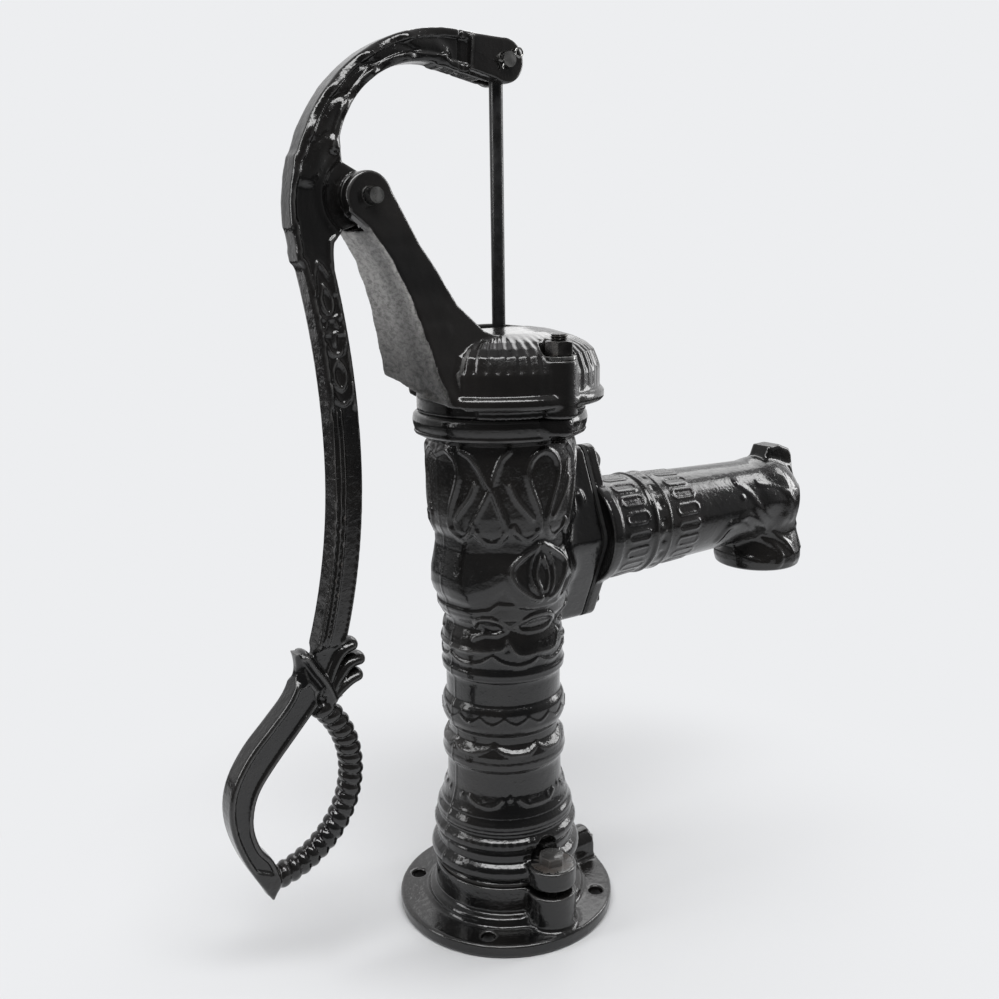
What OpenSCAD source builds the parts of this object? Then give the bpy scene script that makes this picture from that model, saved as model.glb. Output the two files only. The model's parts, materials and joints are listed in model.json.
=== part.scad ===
// Cast-iron hand well pump: foot, cylinder, spout, bonnet with handle bracket,
// curved lever with a looped grip, and the plunger and foot valve inside.
// Origin: centre of the underside of the foot flange, on the cylinder's axis.
// +Z up, +X towards the spout, the handle hangs on the -X side. Millimetres.

/* [Foot] */
// Diameter of the round foot flange
foot_d = 168; // [160:1:184]
// Thickness of the foot flange
foot_t = 10; // [8:0.5:13]
// Diameter of the circle that the four foot holes lie on
foot_pcd = 144; // [140:1:150]
// Diameter of each foot hole
foot_hole_d = 11; // [9:0.5:13]
// Diameter of the threaded suction port
suction_d = 39; // [34:0.5:42]

/* [Cylinder] */
// Inside diameter of the cylinder that the plunger runs in
bore_d = 75; // [74:0.5:76]
// Height of the top face of the cylinder's upper ring
column_top = 393; // [388:1:398]
// Diameter of the upper ring
ring_d = 127; // [122:1:132]

/* [Spout] */
// Height of the spout's axis
spout_z = 289; // [285:1:293]
// Distance from the cylinder's axis to the middle of the outlet
outlet_x = 277; // [265:1:290]
// Height of the outlet's lip
outlet_z = 230; // [224:1:238]
// Inside diameter of the outlet
outlet_d = 52; // [46:1:56]
// Distance between the two spout bolts
spout_bolt_span = 110; // [108:1:112]

/* [Bonnet] */
// Diameter of the bonnet's rim
bonnet_d = 150; // [148:1:154]
// Height of the highest point of the dome
dome_top = 454; // [450:1:458]
// Distance between the two bonnet studs
stud_span = 128; // [126:1:130]

/* [Lever] */
// Distance of the fulcrum pin behind the cylinder's axis
fulcrum_x = -108.5; // [-112:0.5:-106]
// Height of the fulcrum pin
fulcrum_z = 537.5; // [534:0.5:541]
// Height of the pin that joins the rod to the lever
rod_pin_z = 627; // [624:0.5:629]
// Thickness of the lever
lever_t = 20; // [17:0.5:20]
// Diameter of the two pins
pin_d = 10; // [9:0.5:11]
// Diameter of the piston rod
rod_d = 9.5; // [8:0.5:10]

/* [Plunger] */
// Height of the plunger's follower, lever hanging
plunger_z = 196; // [192:1:200]
// Lift of the plunger's valve
valve_lift = 8; // [5:0.5:8]

/* [Hidden] */

$fn = 64;
eps = 0.01;              // overrun of a cut past the face it leaves
iron = "#17181a";
steel = "#6f7276";
leather = "#5b3b23";
brass = "#9c7a3c";

// Foot
barrel_r = 55;
barrel_top = 38;
gasket_t = 3;
body_z = barrel_top + gasket_t;
ear_y = 61;
ear_r = 18.5;
ear_t = 15;
foot_ear_top = barrel_top - 1;
body_ear_z = body_z + 2;
bolt_r = 5;              // M10
lug_x = 81;
lug_r = 13;
lug_z = 20;
plug_r = 6;
plug_flats = 9;
plug_head = 6;
port_r = 18;
port_z = 24;

// Foot valve
flap_r = 25;
flap_t = 3;
flap_gap = 0.3;
flap_z = barrel_top + flap_gap;
flap_tab_x = -27.4;

// Cylinder
bore_r = bore_d / 2;
chamber_r = 43;
chamber_z = 250;
neck_x = 72;
flange_w = 33;
flange_h = 69;
flange_corner = 9;
flange_side_r = 18;
passage_r = 28;
spout_flange_t = 9;
spout_bolt_r = 4;         // M8
spout_head_flats = 13;
spout_head_t = 5.5;
spotface_r = 9;
collar_r = 42.5;
collar_l = 11;
crest_l = 20;
crest_w = 24;
crest_top = 336;
spout_gasket_t = 3;
spout_face = neck_x + spout_gasket_t;
ring_ear_r = 12.5;
stud_x = 5;
bolt_pocket_r = 15.5;   // recess in the column above each foot bolt
bolt_pocket_top = 79;

// Bonnet
bonnet_z = column_top;
rim_z = 401;
rim_top = 417;
rim_r = bonnet_d / 2;
boss_top = 432;
washer_t = 2.5;
stud_r = 6;              // M12
stud_top = 449;
opening_r = 17;
opening_x = [-8, 17];
bracket_t = 9;
bracket_half = 42;       // half width of the bracket at its foot
bracket_lean = 9.5;      // degrees that each cheek leans in
cheek_in = lever_t / 2 + 0.6;
cheek_out = cheek_in + bracket_t;
cheek_r = 16.5;
fulcrum_split_y = cheek_out + 4;

// Lever
pin_r = pin_d / 2;
pin_hold = 0.02;         // radial clearance where a pin is held
pin_run = 0.06;          // radial clearance where a piece turns on a pin
fork_t = 26;
fork_r = 14.5;
fork_slot = 10.4;
arch = [-40, 528];
arch_out = 116;
hollow = [-58, 556];     // centre of the arch's inner edge
hollow_r = 66;
limb_w = 20.5;
limb_waist = [-126.5, 368];
limb_up_r = 590;
limb_down_r = 435;
blade_outer = [
    [-167, 243], [-169, 230], [-176, 214], [-190, 199], [-206, 183], [-218, 165],
    [-223, 147], [-222, 128], [-216, 108], [-207, 89], [-197, 71]
];
blade_inner = [
    [-190, 84], [-195, 101], [-203, 113], [-207, 128], [-206, 142], [-201, 155],
    [-190, 169], [-176, 184], [-160, 201], [-148, 214]
];
rope = [-200, 152];
rope_r = 68.5;
rope_d = 18;
split_r = 1.4;
rod_split_y = fork_t / 2 + 2.4;
rod_split_turn = 60;

// Plunger
follower_t = 7;
cup_t = 3;
cup_h = 16;
cup_gap = 0.1;
disc_t = 8;
disc_r = 33;
post_r = 3;
post_ring = 30;
cage_t = 6;
cage_hole_r = 14.5;
valve_port_r = 14;
valve_r = 19;
valve_t = 7;
stop_room = 23;           // from the lifted valve up to the cage: nut, washer and play
post_h = valve_t + valve_lift + stop_room;
rod_washer_r = 17;
rod_washer_t = 3.5;
rod_play = 4.5;            // gap above the washer, lever hanging
disc_z = plunger_z + follower_t + cup_t;
disc_top = disc_z + disc_t;
cage_z = disc_top + post_h;
washer_z = cage_z - rod_play - rod_washer_t;
nut_h = 8;

// ---------- helpers ----------

// Points of an arc round c from angle a0 to a1
function arc(c, r, a0, a1, n = 16) =
    [for (i = [0:n]) let (a = a0 + (a1 - a0) * i / n) [c[0] + r * cos(a), c[1] + r * sin(a)]];

// A smooth line through a list of points
function smooth(p, n = 4) = concat(
    [for (i = [0:len(p) - 2], j = [0:n - 1])
        let (a = p[max(i - 1, 0)], b = p[i], c = p[i + 1], d = p[min(i + 2, len(p) - 1)], t = j / n)
            b + (c - a) * t / 2 + (2 * a - 5 * b + 4 * c - d) * t * t / 2
                + (3 * b - a - 3 * c + d) * t * t * t / 2],
    [p[len(p) - 1]]
);

// A curved band round c between two radii
module band(c, r0, r1, a0, a1, n = 24) {
    polygon(concat(arc(c, r0, a0, a1, n), arc(c, r1, a1, a0, n)));
}

// Stands a shape drawn in X and Z upright, thick in Y about y = 0
module upright(t) {
    rotate([90, 0, 0])
        linear_extrude(t, center = true)
            children();
}

// Hexagon prism of a given width across flats, standing on z = 0
module hex(flats, h) {
    cylinder(d = flats / cos(30), h = h, $fn = 6);
}

// A cylinder along X from x0 to x1
module rod_x(r, x0, x1, y = 0, z = 0) {
    translate([x0, y, z])
        rotate([0, 90, 0])
            cylinder(r = r, h = x1 - x0);
}

// A cylinder along Y centred on y = 0
module rod_y(r, h, x = 0, z = 0) {
    translate([x, 0, z])
        rotate([90, 0, 0])
            cylinder(r = r, h = h, center = true);
}

// Outline of the two-bolt spout flange, drawn as width and height
module flange_outline() {
    hull() {
        for (s = [-1, 1]) {
            translate([0, s * (flange_h - flange_corner)])
                circle(flange_corner, $fn = 32);
            translate([s * (flange_w - flange_side_r), 0])
                circle(flange_side_r, $fn = 32);
        }
    }
}

// The flange outline as a plate across X
module flange_plate(x0, x1) {
    translate([x0, 0, spout_z])
        rotate([90, 0, 90])
            linear_extrude(x1 - x0)
                flange_outline();
}

// A split pin standing on end across a pin's axis, with its two legs opened
module split_pin(reach) {
    cylinder(r = split_r, h = 2 * reach, center = true);
    translate([0, 0, reach + 2.4])
        rotate([90, 0, 0])
            rotate_extrude($fn = 32)
                translate([2.6, 0])
                    circle(1.1, $fn = 16);
}

// ---------- foot ----------

module foot_base() {
    color(iron)
    difference() {
        union() {
            cylinder(r = foot_d / 2, h = foot_t);
            cylinder(r = barrel_r, h = barrel_top);
            translate([0, 0, foot_t - eps])
                cylinder(r1 = barrel_r + 7, r2 = barrel_r - eps, h = 9);
            for (s = [-1, 1])
                translate([0, s * ear_y, 0])
                    cylinder(r = ear_r, h = foot_ear_top);
            rod_x(lug_r, barrel_r - 12, lug_x, 0, lug_z);
            translate([barrel_r - 12, -lug_r, foot_t - 1])
                cube([lug_x - barrel_r + 12, 2 * lug_r, lug_z - foot_t + 1]);
        }
        for (a = [45:90:315])
            rotate([0, 0, a])
                translate([foot_pcd / 2, 0, -eps])
                    cylinder(d = foot_hole_d, h = foot_t + 1);
        translate([0, 0, -eps])
            cylinder(d = suction_d, h = port_z + eps);
        translate([0, 0, port_z - eps])
            cylinder(r = port_r, h = barrel_top);
        for (s = [-1, 1])
            translate([0, s * ear_y, foot_t + 4])
                cylinder(r = bolt_r + pin_hold, h = barrel_top);
        rod_x(plug_r + pin_hold, lug_x - 16, lug_x + 1, 0, lug_z);
        rod_x(3.5, 0, lug_x - 10, 0, lug_z - 1);
    }
}

module drain_plug() {
    color(steel) {
        rod_x(plug_r, lug_x - 14, lug_x + 1, 0, lug_z);
        translate([lug_x + 0.5, -plug_flats / 2, lug_z - plug_flats / 2])
            cube([plug_head, plug_flats, plug_flats]);
    }
}

module foot_gasket() {
    color(leather)
    translate([0, 0, barrel_top])
        difference() {
            cylinder(r = barrel_r - 2, h = gasket_t);
            translate([0, 0, -1])
                cylinder(r = 30, h = gasket_t + 2);
        }
}

// ---------- foot valve ----------

module flap_leather() {
    color(leather)
    difference() {
        union() {
            translate([0, 0, flap_z])
                cylinder(r = flap_r, h = flap_t);
            translate([flap_tab_x, -9, flap_z])
                cube([12, 18, flap_t]);
        }
        translate([0, 0, flap_z - 1])
            cylinder(r = 4 + pin_hold, h = flap_t + 2);
    }
}

module flap_weight() {
    color(iron)
    difference() {
        translate([0, 0, flap_z + flap_t])
            union() {
                cylinder(r = 17, h = 5);
                translate([0, 0, 5 - eps])
                    cylinder(r1 = 15, r2 = 11, h = 4);
            }
        translate([0, 0, flap_z])
            cylinder(r = 4 + pin_hold, h = 20);
    }
}

module flap_screw() {
    color(brass) {
        translate([0, 0, flap_z - 4])
            cylinder(r = 13, h = 4);
        translate([0, 0, flap_z - 4])
            cylinder(r = 4, h = 19);
        translate([0, 0, flap_z + flap_t + 9])
            hex(12, 3);
    }
}

// ---------- cylinder ----------

// Outside of the column, as radius and height, from the bottom up
column_profile = concat(
    [[52, body_z], [56, body_z + 1]],
    arc([50, 50], 8.2, -60, 70, 8),
    [[53, 62], [53, 64]],
    arc([49.5, 71.5], 6, -70, 70, 8),
    [[51.5, 80], [53.3, 82], [52, 85], [52.2, 87], [50, 90], [46.8, 98], [44.2, 108], [43.6, 126]],
    [[46.5, 129], [47, 133], [46.5, 140], [45, 143], [42, 148], [42, 154], [45, 158]],
    [[46.6, 162], [46.6, 173], [45.6, 176], [43.4, 179], [43.4, 196], [46.2, 199], [46.4, 203]],
    [[45.2, 209], [45.6, 217], [46, 221], [44.8, 229], [42.5, 238], [43.5, 241], [47.8, 247]],
    [[48.8, 259], [50.8, 267], [53.4, 275], [53.4, 279], [49, 286], [48.2, 296], [49, 306]],
    [[52.6, 312], [53.6, 322], [54.3, 360], [53.2, 373]],
    arc([ring_d / 2 - 7, column_top - 7], 7, -75, 75, 10),
    [[ring_d / 2 - 6, column_top]]
);

module pump_body() {
    color(iron)
    difference() {
        union() {
            rotate_extrude($fn = 96)
                polygon(concat([[0, body_z]], column_profile, [[0, column_top]]));
            for (s = [-1, 1]) {
                translate([0, s * ear_y, body_ear_z])
                    cylinder(r = ear_r, h = ear_t);
                translate([stud_x, s * stud_span / 2, column_top - 14])
                    cylinder(r = ring_ear_r, h = 13.8);
            }
            flange_plate(32, neck_x);
        }
        translate([0, 0, body_z - eps])
            cylinder(r = bore_r, h = chamber_z - body_z);
        translate([0, 0, chamber_z - 1])
            cylinder(r1 = bore_r, r2 = chamber_r, h = 8);
        translate([0, 0, chamber_z + 6])
            cylinder(r = chamber_r, h = column_top);
        rod_x(passage_r, 20, neck_x + 1, 0, spout_z);
        for (s = [-1, 1]) {
            translate([0, s * ear_y, body_z])
                cylinder(r = bolt_r + 0.5, h = ear_t + 10);
            translate([0, s * ear_y, body_ear_z + ear_t])
                cylinder(r = bolt_pocket_r, h = bolt_pocket_top - body_ear_z - ear_t);
            translate([stud_x, s * stud_span / 2, column_top - 20])
                cylinder(r = stud_r + pin_hold, h = 30);
            rod_x(spout_bolt_r + pin_hold, neck_x - 17, neck_x + 1, 0, spout_z + s * spout_bolt_span / 2);
        }
    }
}

module foot_bolts() {
    color(steel)
    for (s = [-1, 1])
        translate([0, s * ear_y, 0]) {
            translate([0, 0, body_ear_z + ear_t])
                hex(17, 6.5);
            translate([0, 0, foot_t + 8])
                cylinder(r = bolt_r, h = body_ear_z + ear_t - foot_t - 7);
        }
}

// ---------- spout ----------

module spout_gasket() {
    color(leather)
    difference() {
        flange_plate(neck_x, spout_face);
        rod_x(passage_r, neck_x - 1, spout_face + 1, 0, spout_z);
        for (s = [-1, 1])
            rod_x(spout_bolt_r + 0.5, neck_x - 1, spout_face + 1, 0, spout_z + s * spout_bolt_span / 2);
    }
}

module spout() {
    color(iron)
    difference() {
        union() {
            flange_plate(spout_face, spout_face + spout_flange_t);
            rod_x(collar_r, spout_face, spout_face + collar_l, 0, spout_z);
            translate([spout_face + 2, 0, spout_z])
                rotate([0, 90, 0])
                    cylinder(r1 = collar_r - 1, r2 = 34.5, h = outlet_x - spout_face - 2);
            translate([outlet_x, 0, spout_z])
                sphere(r = 36.5);
            translate([outlet_x, 0, outlet_z])
                cylinder(r1 = 37.8, r2 = 35.5, h = spout_z - outlet_z);
            translate([outlet_x + 5, -crest_w / 2, spout_z + 8])
                cube([crest_l, crest_w, crest_top - spout_z - 8]);
        }
        rod_x(passage_r, spout_face - 1, outlet_x, 0, spout_z);
        translate([outlet_x, 0, spout_z])
            sphere(r = passage_r);
        translate([outlet_x, 0, outlet_z - 1])
            cylinder(d = outlet_d, h = spout_z - outlet_z);
        for (s = [-1, 1])
            translate([0, 0, spout_z + s * spout_bolt_span / 2]) {
                rod_x(spout_bolt_r + 0.5, spout_face - 1, spout_face + 12);
                rod_x(spotface_r, spout_face + spout_flange_t, spout_face + 20);
            }
    }
}

module spout_bolts() {
    color(steel)
    for (s = [-1, 1])
        translate([spout_face + spout_flange_t, 0, spout_z + s * spout_bolt_span / 2])
            rotate([0, 90, 0]) {
                hex(spout_head_flats, spout_head_t);
                translate([0, 0, -26])
                    cylinder(r = spout_bolt_r, h = 26.5);
            }
}

// ---------- bonnet ----------

// Outside of the dome, as radius and height
dome_profile = [
    [62, bonnet_z], [62, rim_z - 3], [rim_r - 1, rim_z], [rim_r, rim_z + 2], [rim_r, rim_top],
    [rim_r - 3.5, rim_top + 5], [rim_r - 4, rim_top + 13], [rim_r - 7, dome_top - 16],
    [rim_r - 13, dome_top - 10], [rim_r - 21, dome_top - 6.5], [rim_r - 36, dome_top - 3],
    [rim_r - 52, dome_top - 0.8], [0, dome_top]
];

// Side view of a bracket cheek: X, and the distance up its leaning face
cheek_outline = concat(
    [[-63, -4], [-66, 5], [-72, 20], [-79, 45], [-87, 72], [-98, 98], [-111, 117]],
    [[-124, 128]],
    arc([fulcrum_x, 137], cheek_r, 205, 15, 16),
    [[-79, 113], [-65, 89], [-53, 68], [-34, 50], [-14, 42], [-14, 32], [-36, -4]]
);

// Back of the bracket between the cheeks, as X and Z
back_outline = [
    [-66, rim_z + 1], [-74, 421], [-81, 447], [-88, 473], [-98, 498], [-110, 516],
    [-103, 520], [-90, 503], [-80, 476], [-73, 450], [-66, 424], [-56, rim_z + 1]
];

module cheek(side) {
    translate([0, side * bracket_half, rim_z + 1])
        rotate([side * bracket_lean, 0, 0])
            translate([0, -side * bracket_t / 2, 0])
                upright(bracket_t)
                    polygon(cheek_outline);
}

// Block that keeps the bracket's back between its two leaning cheeks
module between_cheeks() {
    lean = tan(bracket_lean);
    top = 150;
    translate([-150, 0, rim_z - 1])
        rotate([90, 0, 90])
            linear_extrude(120)
                polygon([
                    [-bracket_half + 2, 0], [bracket_half - 2, 0],
                    [bracket_half - 2 - top * lean, top], [-bracket_half + 2 + top * lean, top]
                ]);
}

module bonnet() {
    color(iron)
    difference() {
        union() {
            difference() {
                rotate_extrude($fn = 96)
                    polygon(concat([[0, bonnet_z]], dome_profile));
                translate([0, 0, bonnet_z - eps])
                    cylinder(r = 46, h = 30);
                translate([0, 0, bonnet_z + 29])
                    cylinder(r1 = 46, r2 = 30, h = 16);
            }
            for (s = [-1, 1]) {
                cheek(s);
                translate([fulcrum_x, s * (cheek_in + bracket_t / 2 + 0.2), fulcrum_z])
                    rotate([90, 0, 0])
                        cylinder(r = cheek_r - 1, h = bracket_t - 0.4, center = true);
                translate([stud_x, s * stud_span / 2, bonnet_z])
                    cylinder(r = ring_ear_r, h = boss_top - bonnet_z);
            }
            intersection() {
                upright(2 * bracket_half)
                    polygon(back_outline);
                between_cheeks();
            }
        }
        for (x = opening_x)
            translate([x, 0, dome_top - 30])
                cylinder(r = opening_r, h = 40);
        translate([opening_x[0], -opening_r, dome_top - 30])
            cube([opening_x[1] - opening_x[0], 2 * opening_r, 40]);
        for (s = [-1, 1])
            translate([stud_x, s * stud_span / 2, 0]) {
                cylinder(r = stud_r + 0.5, h = dome_top);
                translate([0, 0, boss_top])
                    cylinder(r = ring_ear_r + 1, h = dome_top - boss_top);
            }
        rod_y(pin_r + pin_hold, 80, fulcrum_x, fulcrum_z);
        upright(2 * cheek_in)
            translate([fulcrum_x, fulcrum_z])
                circle(19);
    }
}

module bonnet_studs() {
    color(steel)
    for (s = [-1, 1])
        translate([stud_x, s * stud_span / 2, column_top - 18])
            cylinder(r = stud_r, h = stud_top - column_top + 18);
}

module bonnet_washers() {
    color(steel)
    for (s = [-1, 1])
        translate([stud_x, s * stud_span / 2, boss_top])
            difference() {
                cylinder(r = 12, h = washer_t);
                translate([0, 0, -1])
                    cylinder(r = stud_r + 0.4, h = washer_t + 2);
            }
}

module bonnet_nuts() {
    color(steel)
    for (s = [-1, 1])
        translate([stud_x, s * stud_span / 2, boss_top + washer_t])
            difference() {
                hex(18, 10);
                translate([0, 0, -1])
                    cylinder(r = stud_r + pin_hold, h = 12);
            }
}

module fulcrum_pin() {
    color(steel)
    difference() {
        rod_y(pin_r, 2 * fulcrum_split_y + 9, fulcrum_x, fulcrum_z);
        translate([fulcrum_x, fulcrum_split_y, fulcrum_z])
            cylinder(r = split_r + pin_hold, h = 20, center = true);
    }
}

module fulcrum_split_pins() {
    color(steel)
    translate([fulcrum_x, fulcrum_split_y, fulcrum_z])
        split_pin(pin_r + 3);
}

// ---------- lever ----------

// Side view of the lever without its rope-like grip limb
module lever_outline() {
    polygon(concat(arc(arch, arch_out, 76, 184, 32), arc(hollow, hollow_r, 192, 80, 32)));
    polygon([[-48, 642], [-20, 642], [3, 641.3], [8, 614.5], [-12, 613.5], [-30, 617], [-50, 621]]);
    band([limb_waist[0] - limb_up_r, limb_waist[1]], limb_up_r - limb_w / 2, limb_up_r + limb_w / 2,
        -0.5, 13.5, 12);
    band([limb_waist[0] - limb_down_r, limb_waist[1]], limb_down_r - limb_w / 2,
        limb_down_r + limb_w / 2, -18.5, 0.5, 12);
    polygon([
        [-153, 498], [-156, 516], [-156, 534], [-151, 560], [-124, 569], [-120, 559], [-108, 553],
        [-108, 521], [-121, 517], [-129, 509], [-132, 496]
    ]);
    polygon(concat(smooth(blade_outer), smooth(blade_inner)));
    polygon([
        [-167, 243], [-158, 238], [-144, 238], [-131, 246], [-124, 243], [-119, 230],
        [-122, 218], [-131, 215], [-136, 204], [-150, 200], [-165, 208]
    ]);
}

module lever() {
    color(iron)
    difference() {
        union() {
            upright(lever_t - 2)
                lever_outline();
            rod_y(15.5, lever_t, fulcrum_x, fulcrum_z);
            rod_y(fork_r, fork_t, 0, rod_pin_z);
            upright(fork_t)
                polygon([[-26, 642], [-1, 641.3], [2, 612.6], [-28, 619]]);
            translate([rope[0], 0, rope[1]])
                rotate([90, 0, 0])
                    rotate([0, 0, -80])
                        rotate_extrude(angle = 124, $fn = 96)
                            translate([rope_r, 0])
                                circle(d = rope_d, $fn = 32);
        }
        translate([-16, -fork_slot / 2, rod_pin_z - 25])
            cube([40, fork_slot, 50]);
        rod_y(pin_r + pin_hold, 40, 0, rod_pin_z);
        rod_y(pin_r + pin_run, 40, fulcrum_x, fulcrum_z);
    }
}

module rod_pin() {
    color(steel)
    difference() {
        rod_y(pin_r, fork_t + 9, 0, rod_pin_z);
        for (s = [-1, 1])
            translate([0, s * rod_split_y, rod_pin_z])
                rotate([0, rod_split_turn, 0])
                    cylinder(r = split_r + pin_hold, h = 20, center = true);
    }
}

module rod_split_pins() {
    color(steel)
    for (s = [-1, 1])
        translate([0, s * rod_split_y, rod_pin_z])
            rotate([0, rod_split_turn, 0])
                split_pin(pin_r + 2);
}

// ---------- rod and plunger ----------

module piston_rod() {
    color(steel)
    difference() {
        union() {
            rod_y(11, fork_slot - 1, 0, rod_pin_z);
            translate([0, 0, washer_z - nut_h - 3])
                cylinder(d = rod_d, h = rod_pin_z - washer_z + nut_h - 3);
        }
        rod_y(pin_r + pin_run, 40, 0, rod_pin_z);
    }
}

module rod_washer() {
    color(steel)
    translate([0, 0, washer_z])
        difference() {
            cylinder(r = rod_washer_r, h = rod_washer_t);
            translate([0, 0, -1])
                cylinder(r = rod_d / 2 + pin_hold, h = rod_washer_t + 2);
        }
}

module rod_nuts() {
    color(steel)
    difference() {
        translate([0, 0, washer_z - nut_h])
            hex(17, nut_h);
        translate([0, 0, washer_z - nut_h - 1])
            cylinder(r = rod_d / 2 + pin_hold, h = nut_h + 2);
    }
}

module plunger_follower() {
    color(brass)
    translate([0, 0, plunger_z])
        difference() {
            cylinder(r = disc_r, h = follower_t);
            translate([0, 0, -1])
                cylinder(r = valve_port_r, h = follower_t + 2);
        }
}

module plunger_leather() {
    color(leather)
    translate([0, 0, plunger_z + follower_t])
        difference() {
            cylinder(r = bore_r - cup_gap, h = cup_t + cup_h);
            translate([0, 0, -1])
                cylinder(r = valve_port_r + 4, h = cup_t + 2);
            translate([0, 0, cup_t])
                cylinder(r = bore_r - cup_gap - 3, h = cup_h + 1);
        }
}

module plunger_body() {
    color(brass)
    difference() {
        union() {
            translate([0, 0, disc_z])
                cylinder(r = disc_r, h = disc_t);
            translate([0, 0, disc_z - cup_t])
                cylinder(r = valve_port_r + 4, h = cup_t + 1);
        }
        translate([0, 0, disc_z - cup_t - 1])
            cylinder(r = valve_port_r, h = disc_t + cup_t + 2);
    }
}

module plunger_cage() {
    color(brass)
    difference() {
        union() {
            translate([0, 0, cage_z])
                cylinder(r = disc_r, h = cage_t);
            for (a = [45:90:315])
                rotate([0, 0, a])
                    translate([post_ring, 0, disc_top])
                        cylinder(r = post_r, h = post_h + 1);
        }
        translate([0, 0, cage_z - 1])
            cylinder(r = cage_hole_r, h = cage_t + 2);
    }
}

module plunger_valve() {
    color(brass) {
        translate([0, 0, disc_top])
            cylinder(r = valve_r, h = valve_t);
        translate([0, 0, disc_top - 13])
            cylinder(r = 4, h = 14);
        for (a = [0, 90])
            rotate([0, 0, a])
                translate([-valve_port_r + 0.5, -1.5, disc_top - 13])
                    cube([2 * valve_port_r - 1, 3, 13.5]);
    }
}

// ---------- assembly ----------

foot_base();
drain_plug();
foot_gasket();
flap_leather();
flap_weight();
flap_screw();
pump_body();
foot_bolts();
spout_gasket();
spout();
spout_bolts();
bonnet();
bonnet_studs();
bonnet_washers();
bonnet_nuts();
fulcrum_pin();
fulcrum_split_pins();
lever();
rod_pin();
rod_split_pins();
piston_rod();
rod_washer();
rod_nuts();
plunger_follower();
plunger_leather();
plunger_body();
plunger_cage();
plunger_valve();
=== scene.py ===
"""Cast-iron hand well pump over its CAD frame. Shapes are in millimetres, scaled on the way in."""

import json
import math

import bpy
import numpy as np
from mathutils import Matrix, Vector

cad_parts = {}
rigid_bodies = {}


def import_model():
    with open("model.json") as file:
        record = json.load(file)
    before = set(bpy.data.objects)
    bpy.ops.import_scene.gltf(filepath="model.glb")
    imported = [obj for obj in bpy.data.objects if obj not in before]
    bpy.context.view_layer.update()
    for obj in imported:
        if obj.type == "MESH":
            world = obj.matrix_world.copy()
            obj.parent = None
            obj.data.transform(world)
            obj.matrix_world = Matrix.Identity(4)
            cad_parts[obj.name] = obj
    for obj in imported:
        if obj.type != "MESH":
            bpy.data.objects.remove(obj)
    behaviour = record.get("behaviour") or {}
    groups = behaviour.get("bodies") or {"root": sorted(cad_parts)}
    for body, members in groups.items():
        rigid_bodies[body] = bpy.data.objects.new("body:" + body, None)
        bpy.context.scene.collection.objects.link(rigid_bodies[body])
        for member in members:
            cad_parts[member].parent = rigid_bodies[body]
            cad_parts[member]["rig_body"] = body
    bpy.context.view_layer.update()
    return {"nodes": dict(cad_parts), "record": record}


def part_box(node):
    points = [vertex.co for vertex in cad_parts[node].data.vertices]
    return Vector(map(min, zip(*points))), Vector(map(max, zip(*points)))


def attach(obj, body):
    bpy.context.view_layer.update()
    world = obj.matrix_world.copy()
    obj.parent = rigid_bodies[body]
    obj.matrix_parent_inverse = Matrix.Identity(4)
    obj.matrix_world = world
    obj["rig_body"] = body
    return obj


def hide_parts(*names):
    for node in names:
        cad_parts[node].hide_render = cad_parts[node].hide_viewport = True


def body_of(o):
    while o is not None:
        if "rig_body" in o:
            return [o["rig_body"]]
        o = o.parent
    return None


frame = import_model()

MM = 0.001
COARSE = 1.0

# Places shared with the CAD model
NECK_X = 72
SPOUT_FACE = 75
SPOUT_Z = 289
SPOUT_BOLT = 55
ELBOW_X = 275
MOUTH_X = 277
PASSAGE_R = 28
BODY_Z = 41
COLUMN_TOP = 393
EAR_Y = 61
EAR_R = 18.5
STUD = (5, 64)
BOSS_TOP = 432
WASHER = 2.5
FULCRUM = (-108.5, 537.5)
ROD_PIN_Z = 627
PIN_HOLE = 5.05
EYE_HOLE = 5.08
ARCH = (-40, 528)
HOLLOW = (-58, 556)
ROPE = (-200, 152)

# Degrees between the -Y axis and the way to the camera, and the colour behind everything
CAMERA_SIDE = -34
BACKDROP = (0.847, 0.855, 0.871, 1)


# ---------- small geometry ----------

def ramp(low, high, value):
    """0 below low, 1 above high and a smooth step between them."""
    t = np.clip((value - low) / (high - low), 0, 1)
    return t * t * (3 - 2 * t)


def bump(distance, width):
    """1 on a line and 0 beyond a width from it, with a round top."""
    return ramp(1, 0, distance / width)


def ridge(distance, width):
    """Like bump, but half round, as cast ornament is."""
    return np.sqrt(np.clip(1 - (distance / width) ** 2, 0, 1))


def blend_min(a, b, soft=0):
    """The union of two distances, with a fillet of about soft millimetres."""
    if not soft:
        return np.minimum(a, b)
    h = np.maximum(soft - np.abs(a - b), 0) / soft
    return np.minimum(a, b) - h * h * soft / 4


def smooth(points, steps=4):
    """A Catmull-Rom line through the points."""
    p = np.array([points[0], *points, points[-1]], float)
    t = np.linspace(0, 1, steps, endpoint=False)[:, None]
    parts = [
        b + (c - a) * t / 2 + (2 * a - 5 * b + 4 * c - d) * t**2 / 2 + (3 * b - a - 3 * c + d) * t**3 / 2
        for a, b, c, d in zip(p, p[1:], p[2:], p[3:])
    ]
    return np.vstack([*parts, p[-1:]])


def arc(centre, radius, start, end, steps=16):
    """Points of an arc in degrees."""
    angle = np.radians(np.linspace(start, end, steps + 1))
    return np.stack([centre[0] + radius * np.cos(angle), centre[1] + radius * np.sin(angle)], 1)


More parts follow.
